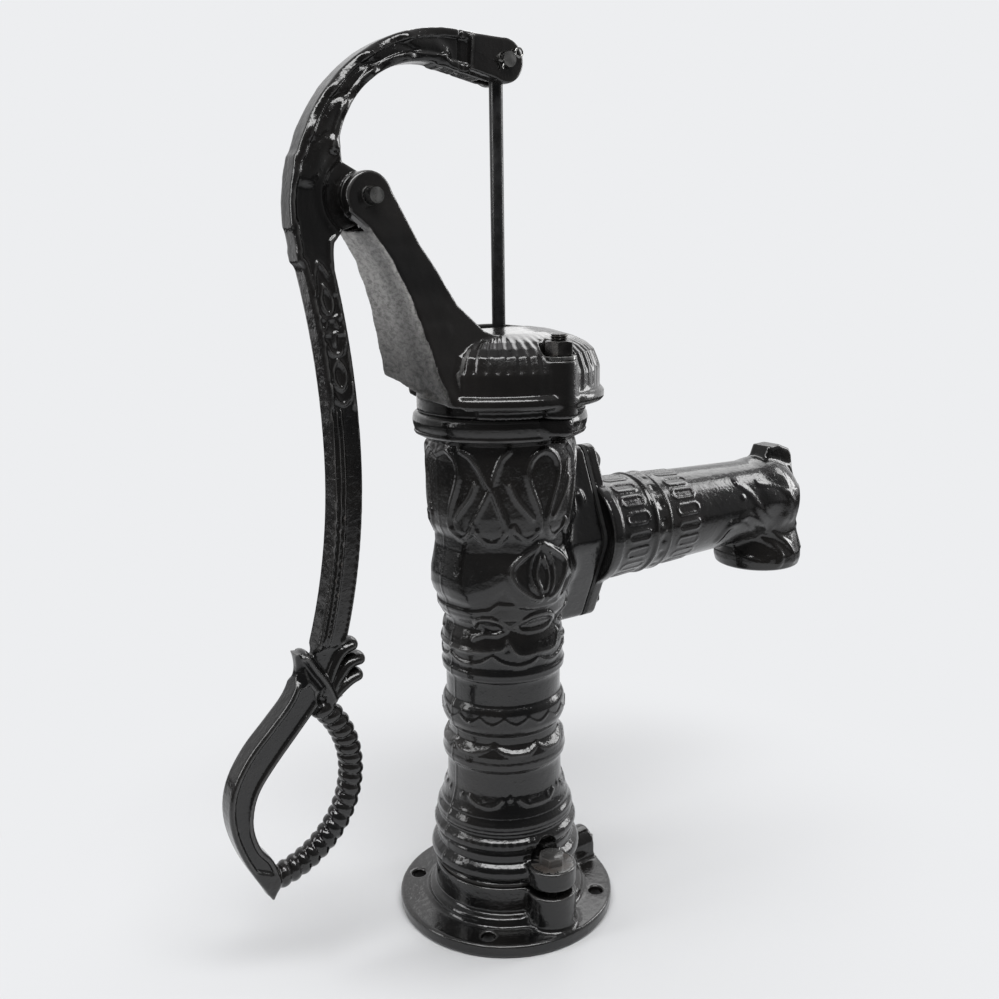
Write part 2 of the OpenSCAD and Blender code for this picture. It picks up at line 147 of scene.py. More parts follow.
def line(u, v, points):
    """Distance from (u, v) to an open line."""
    best = None
    points = np.array(points, np.float32)
    for a, b in zip(points[:-1], points[1:]):
        e = b - a
        t = np.clip(((u - a[0]) * e[0] + (v - a[1]) * e[1]) / max(float(e @ e), 1e-9), 0, 1)
        d = (u - a[0] - t * e[0]) ** 2 + (v - a[1] - t * e[1]) ** 2
        best = d if best is None else np.minimum(best, d)
    return np.sqrt(best)


def outline(u, v, points):
    """Signed distance from (u, v) to a closed outline, negative inside it."""
    points = np.array(points, np.float32)
    inside = None
    for a, b in zip(points, np.roll(points, -1, 0)):
        e = b - a
        if e[1] == 0:
            continue
        crosses = ((a[1] <= v) != (b[1] <= v)) & (u - a[0] < e[0] * (v - a[1]) / e[1])
        inside = crosses if inside is None else inside ^ crosses
    return np.where(inside, -1, 1) * line(u, v, np.vstack([points, points[:1]]))


def plate(flat, across, half, edge=0):
    """A flat shape given thickness, with its edges rounded."""
    a = flat + edge
    b = np.abs(across) - half + edge
    return np.minimum(np.maximum(a, b), 0) + np.hypot(np.maximum(a, 0), np.maximum(b, 0)) - edge


def disc(u, v, centre, radius):
    """Signed distance to a circle."""
    return np.hypot(u - centre[0], v - centre[1]) - radius


def band(centre, inner, outer, start, end, steps=16):
    """Outline of a curved band between two radii."""
    return np.vstack([arc(centre, inner, start, end, steps), arc(centre, outer, end, start, steps)])


# ---------- solids from distances ----------

class Block:
    """Distances in millimetres on a regular grid, negative inside the iron."""

    def __init__(self, low, high, cell):
        self.cell = cell * COARSE
        count = [int(math.ceil((b - a) / self.cell)) + 1 for a, b in zip(low, high)]
        axes = [a + self.cell * np.arange(n, dtype=np.float32) for a, n in zip(low, count)]
        self.low = np.array(low, np.float32)
        self.x, self.y, self.z = np.meshgrid(*axes, indexing="ij", sparse=True)
        self.d = np.full(count, 99, np.float32)

    def near(self, low, high):
        """The part of the block inside a box, sharing its distances."""
        part = object.__new__(Block)
        cuts = []
        for axis, size in enumerate(self.d.shape):
            first = max(0, int((low[axis] - self.low[axis]) / self.cell))
            last = min(size, int((high[axis] - self.low[axis]) / self.cell) + 2)
            cuts.append(slice(first, last))
        part.cell = self.cell
        part.low = self.low + self.cell * np.array([c.start for c in cuts], np.float32)
        part.x, part.y, part.z = self.x[cuts[0]], self.y[:, cuts[1]], self.z[:, :, cuts[2]]
        part.d = self.d[tuple(cuts)]
        return part

    def add(self, distance, soft=0):
        self.d[...] = blend_min(self.d, distance, soft)

    def cut(self, distance, soft=0):
        self.d[...] = -blend_min(-self.d, distance, soft)

    def sample(self, points):
        """Distances at points, between the grid's own."""
        at = (points - self.low) / self.cell
        base = np.clip(at.astype(int), 0, np.array(self.d.shape) - 2)
        f = at - base
        total = 0
        for corner in np.ndindex(2, 2, 2):
            weight = np.prod(np.where(corner, f, 1 - f), 1)
            total = total + weight * self.d[tuple((base + corner).T)]
        return total

    def skin(self):
        """Vertices and faces of the zero level."""
        for axis in range(3):
            edge = np.moveaxis(self.d, axis, 0)
            edge[0] = np.maximum(edge[0], self.cell / 2)
            edge[-1] = np.maximum(edge[-1], self.cell / 2)
        inside = self.d < 0
        n = np.array(self.d.shape) - 1
        corners = list(np.ndindex(2, 2, 2))
        total = np.zeros(n, np.uint8)
        for i, j, k in corners:
            total += inside[i:i + n[0], j:j + n[1], k:k + n[2]]
        cells = np.argwhere((total > 0) & (total < 8))
        number = np.zeros(n, np.int32)
        number[tuple(cells.T)] = np.arange(len(cells))
        value = np.stack([self.d[tuple((cells + c).T)] for c in corners], 1)
        place = np.zeros((len(cells), 3))
        hits = np.zeros(len(cells))
        for a, first in enumerate(corners):
            for b, second in enumerate(corners[a + 1:], a + 1):
                if sum(abs(p - q) for p, q in zip(first, second)) != 1:
                    continue
                hit = (value[:, a] < 0) != (value[:, b] < 0)
                t = value[hit, a] / (value[hit, a] - value[hit, b])
                place[hit] += np.array(first) + t[:, None] * (np.array(second) - np.array(first))
                hits[hit] += 1
        points = self.low + self.cell * (cells + place / hits[:, None])
        faces = []
        for axis in range(3):
            side, ids = np.moveaxis(inside, axis, 0), np.moveaxis(number, axis, 0)
            i, j, k = np.nonzero(side[:-1, 1:-1, 1:-1] != side[1:, 1:-1, 1:-1])
            quad = np.stack([ids[i, j, k], ids[i, j + 1, k], ids[i, j + 1, k + 1], ids[i, j, k + 1]], 1)
            flip = side[1:, 1:-1, 1:-1][i, j, k] != (axis == 1)
            quad[flip] = quad[flip][:, ::-1]
            faces.append(quad)
        for _ in range(2):
            here = self.sample(points)
            step = np.eye(3) * self.cell / 2
            slopes = [(self.sample(points + s) - self.sample(points - s)) / self.cell for s in step]
            slope = np.stack(slopes, 1)
            move = here[:, None] * slope / np.maximum((slope**2).sum(1), 0.25)[:, None]
            points = points - np.clip(move, -self.cell / 2, self.cell / 2)
        return points, np.vstack(faces)


def lathe(block, points, x=0, y=0):
    """Distance to an outline of (radius, height) turned round a vertical axis."""
    radius = np.hypot(block.x - x, block.y - y)[:, :, 0]
    reach = np.arange(0, radius.max() + 1, 0.4)
    table = outline(reach[:, None], block.z[0, 0][None, :], points)
    out = np.empty(block.d.shape, np.float32)
    for k in range(out.shape[2]):
        out[:, :, k] = np.interp(radius, reach, table[:, k])
    return out


# ---------- meshes and pieces ----------

def new_piece(name, points, faces, sharp=55):
    """A mesh object from points in millimetres."""
    mesh = bpy.data.meshes.new(name)
    if isinstance(faces, np.ndarray):
        mesh.vertices.add(len(points))
        mesh.vertices.foreach_set("co", (np.asarray(points, np.float32) * MM).ravel())
        mesh.loops.add(faces.size)
        mesh.loops.foreach_set("vertex_index", faces.astype(np.int32).ravel())
        mesh.polygons.add(len(faces))
        mesh.polygons.foreach_set("loop_start", np.arange(0, faces.size, faces.shape[1], dtype=np.int32))
        mesh.update(calc_edges=True)
    else:
        mesh.from_pydata([tuple(float(c) * MM for c in p) for p in points], [], faces)
    mesh.validate()
    finish_mesh(mesh, sharp)
    piece = bpy.data.objects.new(name, mesh)
    bpy.context.scene.collection.objects.link(piece)
    return piece


def finish_mesh(mesh, sharp=55):
    """Smooth shading that breaks only at edges steeper than sharp degrees."""
    mesh.polygons.foreach_set("use_smooth", np.ones(len(mesh.polygons), bool))
    mesh.set_sharp_from_angle(angle=math.radians(sharp))
    mesh.update()


def sheet(rings, closed_ends=True):
    """Points and faces of a closed tube given as rings of equally many points."""
    rings = np.asarray(rings, float)
    count, around = rings.shape[:2]
    points = [tuple(p) for p in rings.reshape(-1, 3)]
    faces = []
    for i in range(count - 1):
        for j in range(around):
            k = (j + 1) % around
            faces.append((i * around + j, i * around + k, (i + 1) * around + k, (i + 1) * around + j))
    if closed_ends:
        for ring, order in ((0, -1), (count - 1, 1)):
            points.append(tuple(rings[ring].mean(0)))
            for j in range(around):
                edge = [ring * around + j, ring * around + (j + 1) % around]
                faces.append((len(points) - 1, *edge[::order]))
    else:
        last = (count - 1) * around
        for j in range(around):
            k = (j + 1) % around
            faces.append((last + j, last + k, k, j))
    return points, faces


def turned(profile, segments=48, closed_ends=True):
    """Points and faces of (radius, height) turned about Z."""
    angle = np.linspace(0, 2 * math.pi, segments, endpoint=False)
    return sheet([[(r * math.cos(a), r * math.sin(a), z) for a in angle] for r, z in profile], closed_ends)


def drill(radius, low, high, segments=32):
    """A round cutter along Z."""
    return turned([(0.01, low), (radius, low), (radius, high), (0.01, high)], segments)


def placed(points, matrix):
    """Points moved by a matrix whose place is in millimetres."""
    return [tuple(matrix @ Vector(p)) for p in points]


def joined(parts):
    """One list of points and faces from several."""
    points, faces = [], []
    for more, rows in parts:
        faces += [tuple(i + len(points) for i in row) for row in rows]
        points += [tuple(p) for p in more]
    return points, faces


def move(x=0, y=0, z=0):
    return Matrix.Translation((x, y, z))


def turn(degrees, axis):
    return Matrix.Rotation(math.radians(degrees), 4, axis)


def tube(path, radius, sides=14):
    """A round tube along a path of points."""
    path = [Vector(p) for p in path]
    rings = []
    side = None
    for i, p in enumerate(path):
        along = (path[min(i + 1, len(path) - 1)] - path[max(i - 1, 0)]).normalized()
        if side is None:
            side = along.orthogonal().normalized()
        side = (side - along * side.dot(along)).normalized()
        other = along.cross(side)
        angles = np.linspace(0, 2 * math.pi, sides, endpoint=False)
        rings.append([tuple(p + radius * (math.cos(a) * side + math.sin(a) * other)) for a in angles])
    return sheet(rings)


def combine(piece, others, operation):
    """Joins or cuts a piece with others, which are used up."""
    for other in others:
        tool = piece.modifiers.new("join", "BOOLEAN")
        tool.operation = operation
        tool.solver = "MANIFOLD"
        tool.object = other
    graph = bpy.context.evaluated_depsgraph_get()
    mesh = bpy.data.meshes.new_from_object(piece.evaluated_get(graph))
    piece.modifiers.clear()
    piece.data = mesh
    finish_mesh(mesh)
    for other in others:
        bpy.data.objects.remove(other)


def install(piece, material, node, body="root"):
    """Puts a finished piece in the place of its CAD node."""
    piece.data.materials.clear()
    piece.data.materials.append(material)
    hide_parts(node)
    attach(piece, body)
    return piece


# ---------- materials ----------

class Wiring:
    """A node tree being wired: each call adds a node and returns its output."""

    def __init__(self, tree):
        self.tree = tree

    def set(self, socket, value):
        if isinstance(value, bpy.types.NodeSocket):
            self.tree.links.new(value, socket)
        else:
            socket.default_value = value

    def node(self, kind, inputs, output=0, **settings):
        node = self.tree.nodes.new(kind)
        for key, value in settings.items():
            setattr(node, key, value)
        for key, value in inputs.items():
            self.set(node.inputs[key], value)
        return node.outputs[output]

    def math(self, operation, *values):
        return self.node("ShaderNodeMath", dict(enumerate(values)), operation=operation)


class Shader(Wiring):
    """A material, with its surface and the place on the object."""

    def __init__(self, name, **surface):
        self.material = bpy.data.materials.new(name)
        self.material.use_nodes = True
        super().__init__(self.material.node_tree)
        self.surface = self.tree.nodes["Principled BSDF"]
        for socket, value in surface.items():
            self.surface.inputs[socket.replace("_", " ")].default_value = value
        self.place = self.node("ShaderNodeTexCoord", {}, "Object")

    def axis(self, vector, number):
        return self.node("ShaderNodeSeparateXYZ", {0: vector}, number)

    def noise(self, scale, detail=3.0, rough=0.5, place=None):
        spread = {"Vector": place or self.place, "Scale": scale, "Detail": detail, "Roughness": rough}
        return self.node("ShaderNodeTexNoise", spread, "Fac")

    def between(self, value, low, high, to_low=0.0, to_high=1.0):
        """Maps a value from one range to another, held at its ends."""
        spread = {"Value": value, "From Min": low, "From Max": high, "To Min": to_low, "To Max": to_high}
        return self.node("ShaderNodeMapRange", spread, interpolation_type="SMOOTHSTEP")

    def product(self, first, *others):
        for other in others:
            first = self.math("MULTIPLY", first, other)
        return first

    def mix(self, factor, a, b):
        node = self.tree.nodes.new("ShaderNodeMix")
        node.data_type = "RGBA"
        self.set(node.inputs["Factor"], factor)
        for socket, value in (("A", a), ("B", b)):
            target = [i for i in node.inputs if i.name == socket and i.type == "RGBA"][0]
            self.set(target, (*value, 1) if isinstance(value, tuple) else value)
        return [o for o in node.outputs if o.type == "RGBA"][0]

    def relief(self, *layers):
        """Stacks (height, strength, distance in mm) layers of bump."""
        normal = None
        for height, strength, depth in layers:
            inputs = {"Height": height, "Strength": strength, "Distance": depth * MM}
            if normal:
                inputs["Normal"] = normal
            normal = self.node("ShaderNodeBump", inputs, "Normal")
        self.tree.links.new(normal, self.surface.inputs["Normal"])

    def finish(self, colour, roughness):
        self.set(self.surface.inputs["Base Color"], colour)
        self.set(self.surface.inputs["Roughness"], roughness)
        return self.material


def enamel(name, web=False):
    """Glossy black enamel over cast iron, with a painted highlight on convex ridges and edges; the web of the
    bonnet's bracket is left rough and grey, partly with painted light and shade.
    """
    s = Shader(name, Coat_Weight=0.3, Coat_Roughness=0.05, Specular_IOR_Level=0.5)
    broad = s.noise(14, 3)
    grain = s.noise(430, 1.5, 0.5)
    skin = s.noise(190, 3, 0.5)
    pits = s.between(s.noise(350, 1, 0.5), 0.56, 0.75)
    raised = s.node("ShaderNodeNewGeometry", {}, "Pointiness")
    worn = s.product(s.between(raised, 0.53, 0.62), s.between(s.noise(60, 4, 0.6), 0.42, 0.62))
    # Pale grey on convex ridges and edges: mostly a painted highlight on the raised ornament and rims, partly
    # rubbed paint.
    rubbed_and_painted_highlight = s.product(s.between(raised, 0.515, 0.57), s.between(s.noise(45, 3), 0.3, 0.6, 0.25, 0.7))
    colour = s.mix(s.between(broad, 0.35, 0.65), (0.004, 0.004, 0.0042), (0.011, 0.0100, 0.0094))
    colour = s.mix(rubbed_and_painted_highlight, colour, (0.150, 0.148, 0.146))
    colour = s.mix(s.product(worn, 0.6), colour, (0.040, 0.028, 0.020))
    rough = s.between(s.noise(36, 4, 0.6), 0.3, 0.72, 0.11, 0.24)
    rough = s.math("ADD", rough, s.product(worn, 0.2))
    fine = 0.2 if web else 0.4
    layers = [(grain, fine, 0.24), (pits, fine, 0.2), (skin, fine, 0.7), (s.noise(52, 2), 0.35, 1.6)]
    if web:
        # The bare back's grey is partly the iron's own and partly a painted reflection of light, with painted
        # shade low and painted light high.
        bare, crumple, bare_and_lit_tone = bare_web_with_painted_light(s)
        colour = s.mix(bare, colour, bare_and_lit_tone)
        rough = s.math("ADD", rough, s.product(bare, 0.36))
        layers.append((s.product(bare, crumple), 1.0, 2.2))
    s.relief(*layers)
    return s.finish(colour, rough)


def bare_web_with_painted_light(s):
    """Where the bracket's back faces show bare casting, its crumpled height, and its grey: partly bare iron
    and partly a painted reflection, painted darker at the bottom as shade and paler higher up as light.
    """
    z = s.axis(s.place, 2)
    facing = s.node("ShaderNodeTexCoord", {}, "Normal")
    back = s.between(s.axis(facing, 0), -0.45, -0.62)
    above, below = s.between(z, 0.402, 0.408), s.between(z, 0.522, 0.512)
    aside = s.math("ABSOLUTE", s.axis(s.place, 1))
    bare = s.product(back, above, below, s.between(aside, 0.0415, 0.0395))
    wide = s.node("ShaderNodeVectorMath", {0: s.place, 1: (1.0, 0.45, 0.9)}, operation="MULTIPLY")
    crumple = s.noise(430, 6, 0.75, wide)
    # Dark low tone: painted shade. Pale high tone: painted light and reflection. They mix by height below.
    low = s.mix(s.between(crumple, 0.36, 0.62), (0.012, 0.012, 0.011), (0.075, 0.072, 0.069))
    high = s.mix(s.between(crumple, 0.34, 0.6), (0.22, 0.215, 0.21), (0.50, 0.49, 0.48))
    return bare, crumple, s.mix(s.between(z, 0.41, 0.505), low, high)


def metal(name, light, dark, metallic, low, high, brushed, rust):
    """Bare or plated metal with stains, fine grain and optional rust spots."""
    s = Shader(name, Metallic=metallic)
    stain = s.between(s.noise(95, 4, 0.6), 0.32, 0.68)
    colour = s.mix(stain, dark, light)
    if rust:
        spots = s.product(s.between(s.noise(240, 4, 0.7), 0.55, 0.7), rust)
        colour = s.mix(spots, colour, (0.10, 0.045, 0.02))
    rough = s.between(s.noise(160, 3, 0.6), 0.3, 0.7, low, high)
    s.relief((s.noise(1500, 2, 0.6), 0.2, 0.03), (s.noise(260, 3, 0.5), 0.2 + brushed, 0.12))
    return s.finish(colour, rough)


def soft(name, light, dark, roughness, scale):
    """Leather or rubber: mottled, with a fine pebble."""
    s = Shader(name)
    cells = s.node("ShaderNodeTexVoronoi", {"Vector": s.place, "Scale": scale}, "Distance")
    colour = s.mix(s.between(s.noise(120, 4, 0.6), 0.3, 0.7), dark, light)
    rough = s.between(s.noise(200, 3), 0.3, 0.7, roughness - 0.08, roughness + 0.08)
    s.relief((cells, 0.5, 0.15), (s.noise(90, 3), 0.3, 0.5))
    return s.finish(colour, rough)


ENAMEL = enamel("enamel_iron")
PAINTED_GASKET = soft("painted_gasket", (0.018, 0.015, 0.012), (0.008, 0.007, 0.006), 0.5, 700)
WEB = enamel("enamel_and_web", web=True)
METALS = {
    "bare_iron": ((0.16, 0.155, 0.15), (0.06, 0.057, 0.055), 0.85, 0.4, 0.62, 0.0, 0.5),
    "painted_rod": ((0.016, 0.016, 0.017), (0.007, 0.007, 0.007), 0.0, 0.22, 0.42, 0.1, 0.0),
    "dark_steel": ((0.050, 0.048, 0.046), (0.018, 0.017, 0.017), 0.7, 0.2, 0.36, 0.0, 0.08),
    "zinc_steel": ((0.44, 0.44, 0.43), (0.20, 0.20, 0.195), 1.0, 0.18, 0.36, 0.0, 0.06),
    "brass": ((0.62, 0.42, 0.17), (0.36, 0.23, 0.09), 1.0, 0.25, 0.45, 0.0, 0.0),
}
MATERIALS = {name: metal(name, *finish) for name, finish in METALS.items()}
MATERIALS["enamel_iron"] = ENAMEL
MATERIALS["leather"] = soft("leather", (0.13, 0.07, 0.035), (0.06, 0.03, 0.016), 0.62, 700)
MATERIALS["rubber_gasket"] = soft("rubber_gasket", (0.020, 0.020, 0.020), (0.009, 0.009, 0.009), 0.7, 900)


# ---------- cylinder ----------

# Outside of the column as radius and height
COLUMN = np.vstack([
    [(52, 41), (56, 42)],
    arc((50, 50), 8.2, -60, 70, 8),
    [(53, 62), (53, 64)],
    arc((49.5, 71.5), 6, -70, 70, 8),
    [(51.5, 80), (53.3, 82), (52, 85), (52.2, 87), (50, 90), (46.8, 98), (44.2, 108), (43.6, 126)],
    [(46.5, 129), (47, 133), (46.5, 140), (45, 143), (42, 148), (42, 154), (45, 158)],
    [(46.6, 162), (46.6, 173), (45.6, 176), (43.4, 179), (43.4, 196), (46.2, 199), (46.4, 203)],
    [(45.2, 209), (45.6, 217), (46, 221), (44.8, 229), (42.5, 238), (43.5, 241), (47.8, 247)],
    [(48.8, 257), (51.6, 262), (53.2, 268), (53.0, 276), (51.2, 285), (49.4, 296), (49.6, 306)],
    [(52.6, 312), (53.6, 322), (54.3, 360), (53.6, 373), (57.5, 375.6), (61.4, 377.2), (62.5, 378.4)],
    [(61.9, 380.2), (62.9, 383.5), (63.4, 387), (62.8, 390.6), (61, 392.4), (57.5, 393)],
])

# Cast ornament on the column: width and height in millimetres, then (angle from the side, height) points.
# The pattern is mirrored about the planes X = 0 and Y = 0.
STROKES = [
    (2.6, 1.3, [(65, 370), (57, 366), (50, 358), (45, 349), (41, 344)]),
    (2.6, 1.3, [(28, 370), (34, 364), (38, 354), (41, 344)]),
    (2.8, 1.4, [(40, 343), (36, 332), (32, 322), (30.5, 314), (34, 307), (42, 304.5), (51, 307), (55, 314),
                (56, 318)]),
    (2.2, 0.9, [(42, 343), (48, 332), (54, 322), (56, 316)]),
    (2.2, 1.1, [(28, 347), (24, 338), (18, 330), (10, 321)]),
    (2.2, 1.1, [(53, 347), (57, 338), (63, 330), (71, 321)]),
    (2.6, 1.3, [(25, 316), (21, 310), (14, 306), (6, 309), (3, 318), (6, 330), (11, 342), (14, 353),
                (12, 362), (6, 367.5), (0, 369.5)]),
    (2.6, 1.3, [(56, 316), (60, 310), (67, 306), (75, 309), (78, 318), (75, 330), (70, 342), (67, 353),
                (69, 362), (75, 367.5), (81, 369.5), (90, 366)]),
    (2.6, 1.5, [(2, 301), (12, 296), (21, 291), (26.5, 285), (25, 277), (20, 271), (12, 265), (4, 262)]),
    (2.3, 1.3, [(3, 300), (9, 292), (11.5, 283), (11, 275), (7, 268), (2, 263)]),
    (2.0, 1.2, [(2, 291), (5, 284), (5.5, 276), (2, 268)]),
    (2.4, 1.3, [(61, 241), (55, 246), (46, 247.5), (37, 244), (30, 238)]),
    (2.2, 1.1, [(55, 240), (48, 236), (41, 234.5), (30, 238)]),
    (2.4, 1.3, [(23, 240), (14, 246), (7, 249), (0, 249.5)]),
    (2.2, 1.1, [(23, 240), (14, 237), (0, 236)]),
    (2.2, 1.1, [(63, 231), (50, 235), (41, 234.5)]),
    (2.0, 1.0, [(0, 219.5), (20, 219.5), (30, 230), (35, 224), (70, 221), (90, 221)]),
    (2.2, 1.0, [(44, 219), (35, 214), (22, 211), (8, 212), (0, 216)]),
    (2.2, 1.0, [(44, 148), (35, 144), (22, 142), (8, 143), (0, 147)]),
    (2.2, 1.0, [(44, 219), (55, 213), (68, 211), (82, 212), (90, 216)]),
    (2.2, 1.0, [(44, 148), (55, 144), (68, 142), (82, 143), (90, 147)]),
    (2.0, 1.0, [(70, 105), (60, 101), (45, 100.5), (37, 105)]),
    (2.0, 1.0, [(20, 105), (12, 101), (0, 100.5)]),
]

# Heights of the wavy ledge under the palmettes and of the ledge below it, against the folded angle
LEDGE = [(0, 261), (15, 261), (22, 267), (32, 277), (46, 270), (62, 264.5), (75, 266), (90, 267.5)]
LOW_LEDGE = [(0, 255), (8, 255), (22, 257.5), (38, 258.5), (45, 254), (60, 251.5), (90, 251.5)]


def column_radius(angle, height):
    """Radius of the cast outside of the column, with its ornament."""
    fold = np.abs(np.mod(angle, 180) - 90)
    ledge = np.interp(fold, *zip(*LEDGE)) - 267
    shift = ledge * ramp(247, 262, height) * ramp(300, 282, height)
    radius = np.interp(height - shift, COLUMN[:, 1], COLUMN[:, 0])
    across = math.radians(1) * 51
    relief = np.zeros(np.broadcast(angle, height).shape)
    for width, tall, points in STROKES:
        path = smooth(points, 3) * (across, 1)
        relief = np.maximum(relief, 1.2 * tall * ridge(line(fold * across, height, path), 0.9 * width))
    low = height - np.interp(fold, *zip(*LOW_LEDGE))
    relief += 0.9 * ridge(np.abs(low), 2.0)
    for turn_at, top in ((11, 104), (29, 106), (54, 104), (80, 104)):
        berry = np.hypot((fold - turn_at) * across, height - top)
        relief = np.maximum(relief, 1.2 * bump(berry, 3))
    swag = 170.5 - 5 * np.abs(np.cos(np.radians(angle * 180 / 22.5)))
    relief = np.maximum(relief, 0.9 * bump(np.abs(height - swag), 1.8))
    for bead_z, count, size in ((57.2, 64, 2.4), (73.5, 60, 2.2)):
        step = 360 / count
        bead = np.hypot((np.mod(angle, step) - step / 2) * math.radians(1) * 56, height - bead_z)
        relief += 0.22 * bump(bead, size)
    for ring_z in (85.5, 93, 133.5, 203.5):
        relief += 0.5 * bump(np.abs(height - ring_z), 1.4)
    relief += 0.6 * bump((90 - fold) * across, 1.8) * ramp(374, 370, height)
    return radius + relief * ramp(42, 46, height) * ramp(375, 371, height)


def core(block, out=0.0):
    """Rough distance to the plain column, for what grows out of it."""
    return np.hypot(block.x, block.y) - np.interp(block.z, COLUMN[:, 1], COLUMN[:, 0]) - out


# Outline of the two-bolt spout flange as Y and height about the spout's axis
FLANGE = np.vstack([
    arc((15, 0), 18, -22.4, 22.4, 6),
    arc((0, 60), 9, 22.4, 157.6, 10),
    arc((-15, 0), 18, 157.6, 202.4, 6),
    arc((0, -60), 9, 202.4, 337.6, 10),
])


def pump_body():
    columns = 336
    fine, plain = 1.15 * COARSE, 2.4 * COARSE
    stops = [(BODY_Z, 108, fine), (108, 127, plain), (127, 162, fine), (162, 180, fine), (180, 198, plain),
             (198, 374, fine), (374, COLUMN_TOP, fine)]
    heights = np.concatenate([np.linspace(a, b, int((b - a) / step) + 1)[:-1] for a, b, step in stops])
    heights = np.append(heights, COLUMN_TOP)
    angle = np.linspace(0, 360, columns, endpoint=False)
    radius = column_radius(angle[None, :], heights[:, None])
    turned_by = np.radians(angle)
    rings = np.stack([radius * np.cos(turned_by), radius * np.sin(turned_by),
                      np.broadcast_to(heights[:, None], radius.shape)], 2)
    piece = new_piece("column", *sheet(rings))

    neck = Block((20, -42, 212), (NECK_X + 2, 42, 366), 1.1)
    prism = plate(outline(neck.y, neck.z - SPOUT_Z, FLANGE), neck.x - 50, NECK_X - 50, 1.6)
    neck.add(blend_min(core(neck, -0.6), prism, 9))
    for side in (-1, 1):
        nub = np.hypot(np.hypot((neck.x - 58) / 0.5, (neck.z - 318) / 1.0), (neck.y - side * 19) / 0.5) - 9
        neck.add(nub * 0.5, 2)
    neck.cut(NECK_X - neck.x)
    neck.cut(neck.x - 24)
    grown = [new_piece("neck", *neck.skin())]
    for side in (-1, 1):
        low, high = sorted((side * 38, side * 82))
        ear = Block((-26, low, 40), (26, high, 66), 1.0)
        pad = plate(disc(ear.x, ear.y, (0, side * EAR_Y), EAR_R), ear.z - 50.5, 7.5, 1.6)
        ear.add(blend_min(core(ear, -0.6), pad, 6))
        ear.cut(np.maximum(ear.z - 43, 50 - np.hypot(ear.x, ear.y)))
        ear.cut(ear.z - BODY_Z - 0.3)
        ear.cut(65 - ear.z)
        grown.append(new_piece("ear", *ear.skin()))
        low, high = sorted((side * 46, side * 80))
        boss = Block((-14, low, 372), (24, high, 396), 0.9)
        pad = plate(disc(boss.x, boss.y, (STUD[0], side * STUD[1]), 9.8), boss.z - 386.5, 6.3, 3)
        boss.add(blend_min(core(boss, -0.6), pad, 9))
        boss.cut(COLUMN_TOP - boss.z)
        boss.cut(boss.z - 376)
        grown.append(new_piece("boss", *boss.skin()))
    combine(piece, grown, "UNION")

    inside = [(0, 30), (37.5, 30), (37.5, 250), (43, 257), (43, 400), (0, 400)]
    cutters = [new_piece("bore", *turned([(max(r, 0.01), z) for r, z in inside], 96))]
    passage = drill(PASSAGE_R, 20, 80, 64)
    across = move(0, 0, SPOUT_Z) @ turn(90, "Y")
    cutters.append(new_piece("passage", placed(passage[0], across), passage[1]))
    for side in (-1, 1):
        at_ear, at_stud = move(0, side * EAR_Y), move(STUD[0], side * STUD[1])
        hollow = [(0.01, 58), (15.5, 58), (15.5, 63), (11.5, 70), (7.5, 76), (0.01, 78)]
        holes = [
            (drill(5.5, 30, 60), at_ear),
            (turned(hollow, 48), at_ear),
            (drill(6.02, 373, 400), at_stud),
            (drill(4.02, 55, 80), move(0, 0, side * SPOUT_BOLT) @ across),
        ]
        for (points, faces), place in holes:
            cutters.append(new_piece("hole", placed(points, place), faces))
    combine(piece, cutters, "DIFFERENCE")
    piece.name = "pump_body_cast"
    return install(piece, ENAMEL, "pump_body")


# ---------- foot ----------

def foot():
    b = Block((-86, -86, -1.5), (90, 86, 40), 1.05)
    r = np.hypot(b.x, b.y)
    b.add(plate(r - 84, b.z - 5, 5, 2.2))
    b.add(plate(r - 55, b.z - 22, 16, 1.2), 9)
    b.add(plate(r - 60.5, b.z - 11, 5, 2.5), 5)
    for side in (-1, 1):
        b.add(plate(disc(b.x, b.y, (0, side * EAR_Y), EAR_R), b.z - 22, 15, 1.6), 6)
    lug = np.minimum(np.hypot(b.y, b.z - 20) - 13, np.maximum(np.abs(b.y) - 13, np.abs(b.z - 12) - 8))
    b.add(plate(lug, b.x - 60, 21, 1.8), 5)
    for centre in arc((0, 0), 72, 45, 315, 3):
        b.cut(disc(b.x, b.y, centre, 5.5), 1.2)
    b.cut(np.maximum(r - 19.5, b.z - 24), 1)
    b.cut(np.maximum(r - 18, 23 - b.z))
    for side in (-1, 1):
        b.cut(np.maximum(disc(b.x, b.y, (0, side * EAR_Y), 5.05), 14 - b.z))
    b.cut(np.maximum(np.hypot(b.y, b.z - 20) - 6.05, 66 - b.x))
    b.cut(np.maximum(np.hypot(b.y, b.z - 19) - 3.5, -b.x))
    b.cut(b.z)
    b.cut(38 - b.z)
    install(new_piece("foot_base_cast", *b.skin()), ENAMEL, "foot_base")


# ---------- spout ----------

# Round swellings on the elbow: place, radius and height
KNOBS = [((219, 314), 4, 1.3), ((221, 302), 4, 1.2), ((256, 296), 17, 2.2), ((270, 276), 9, 1.2)]


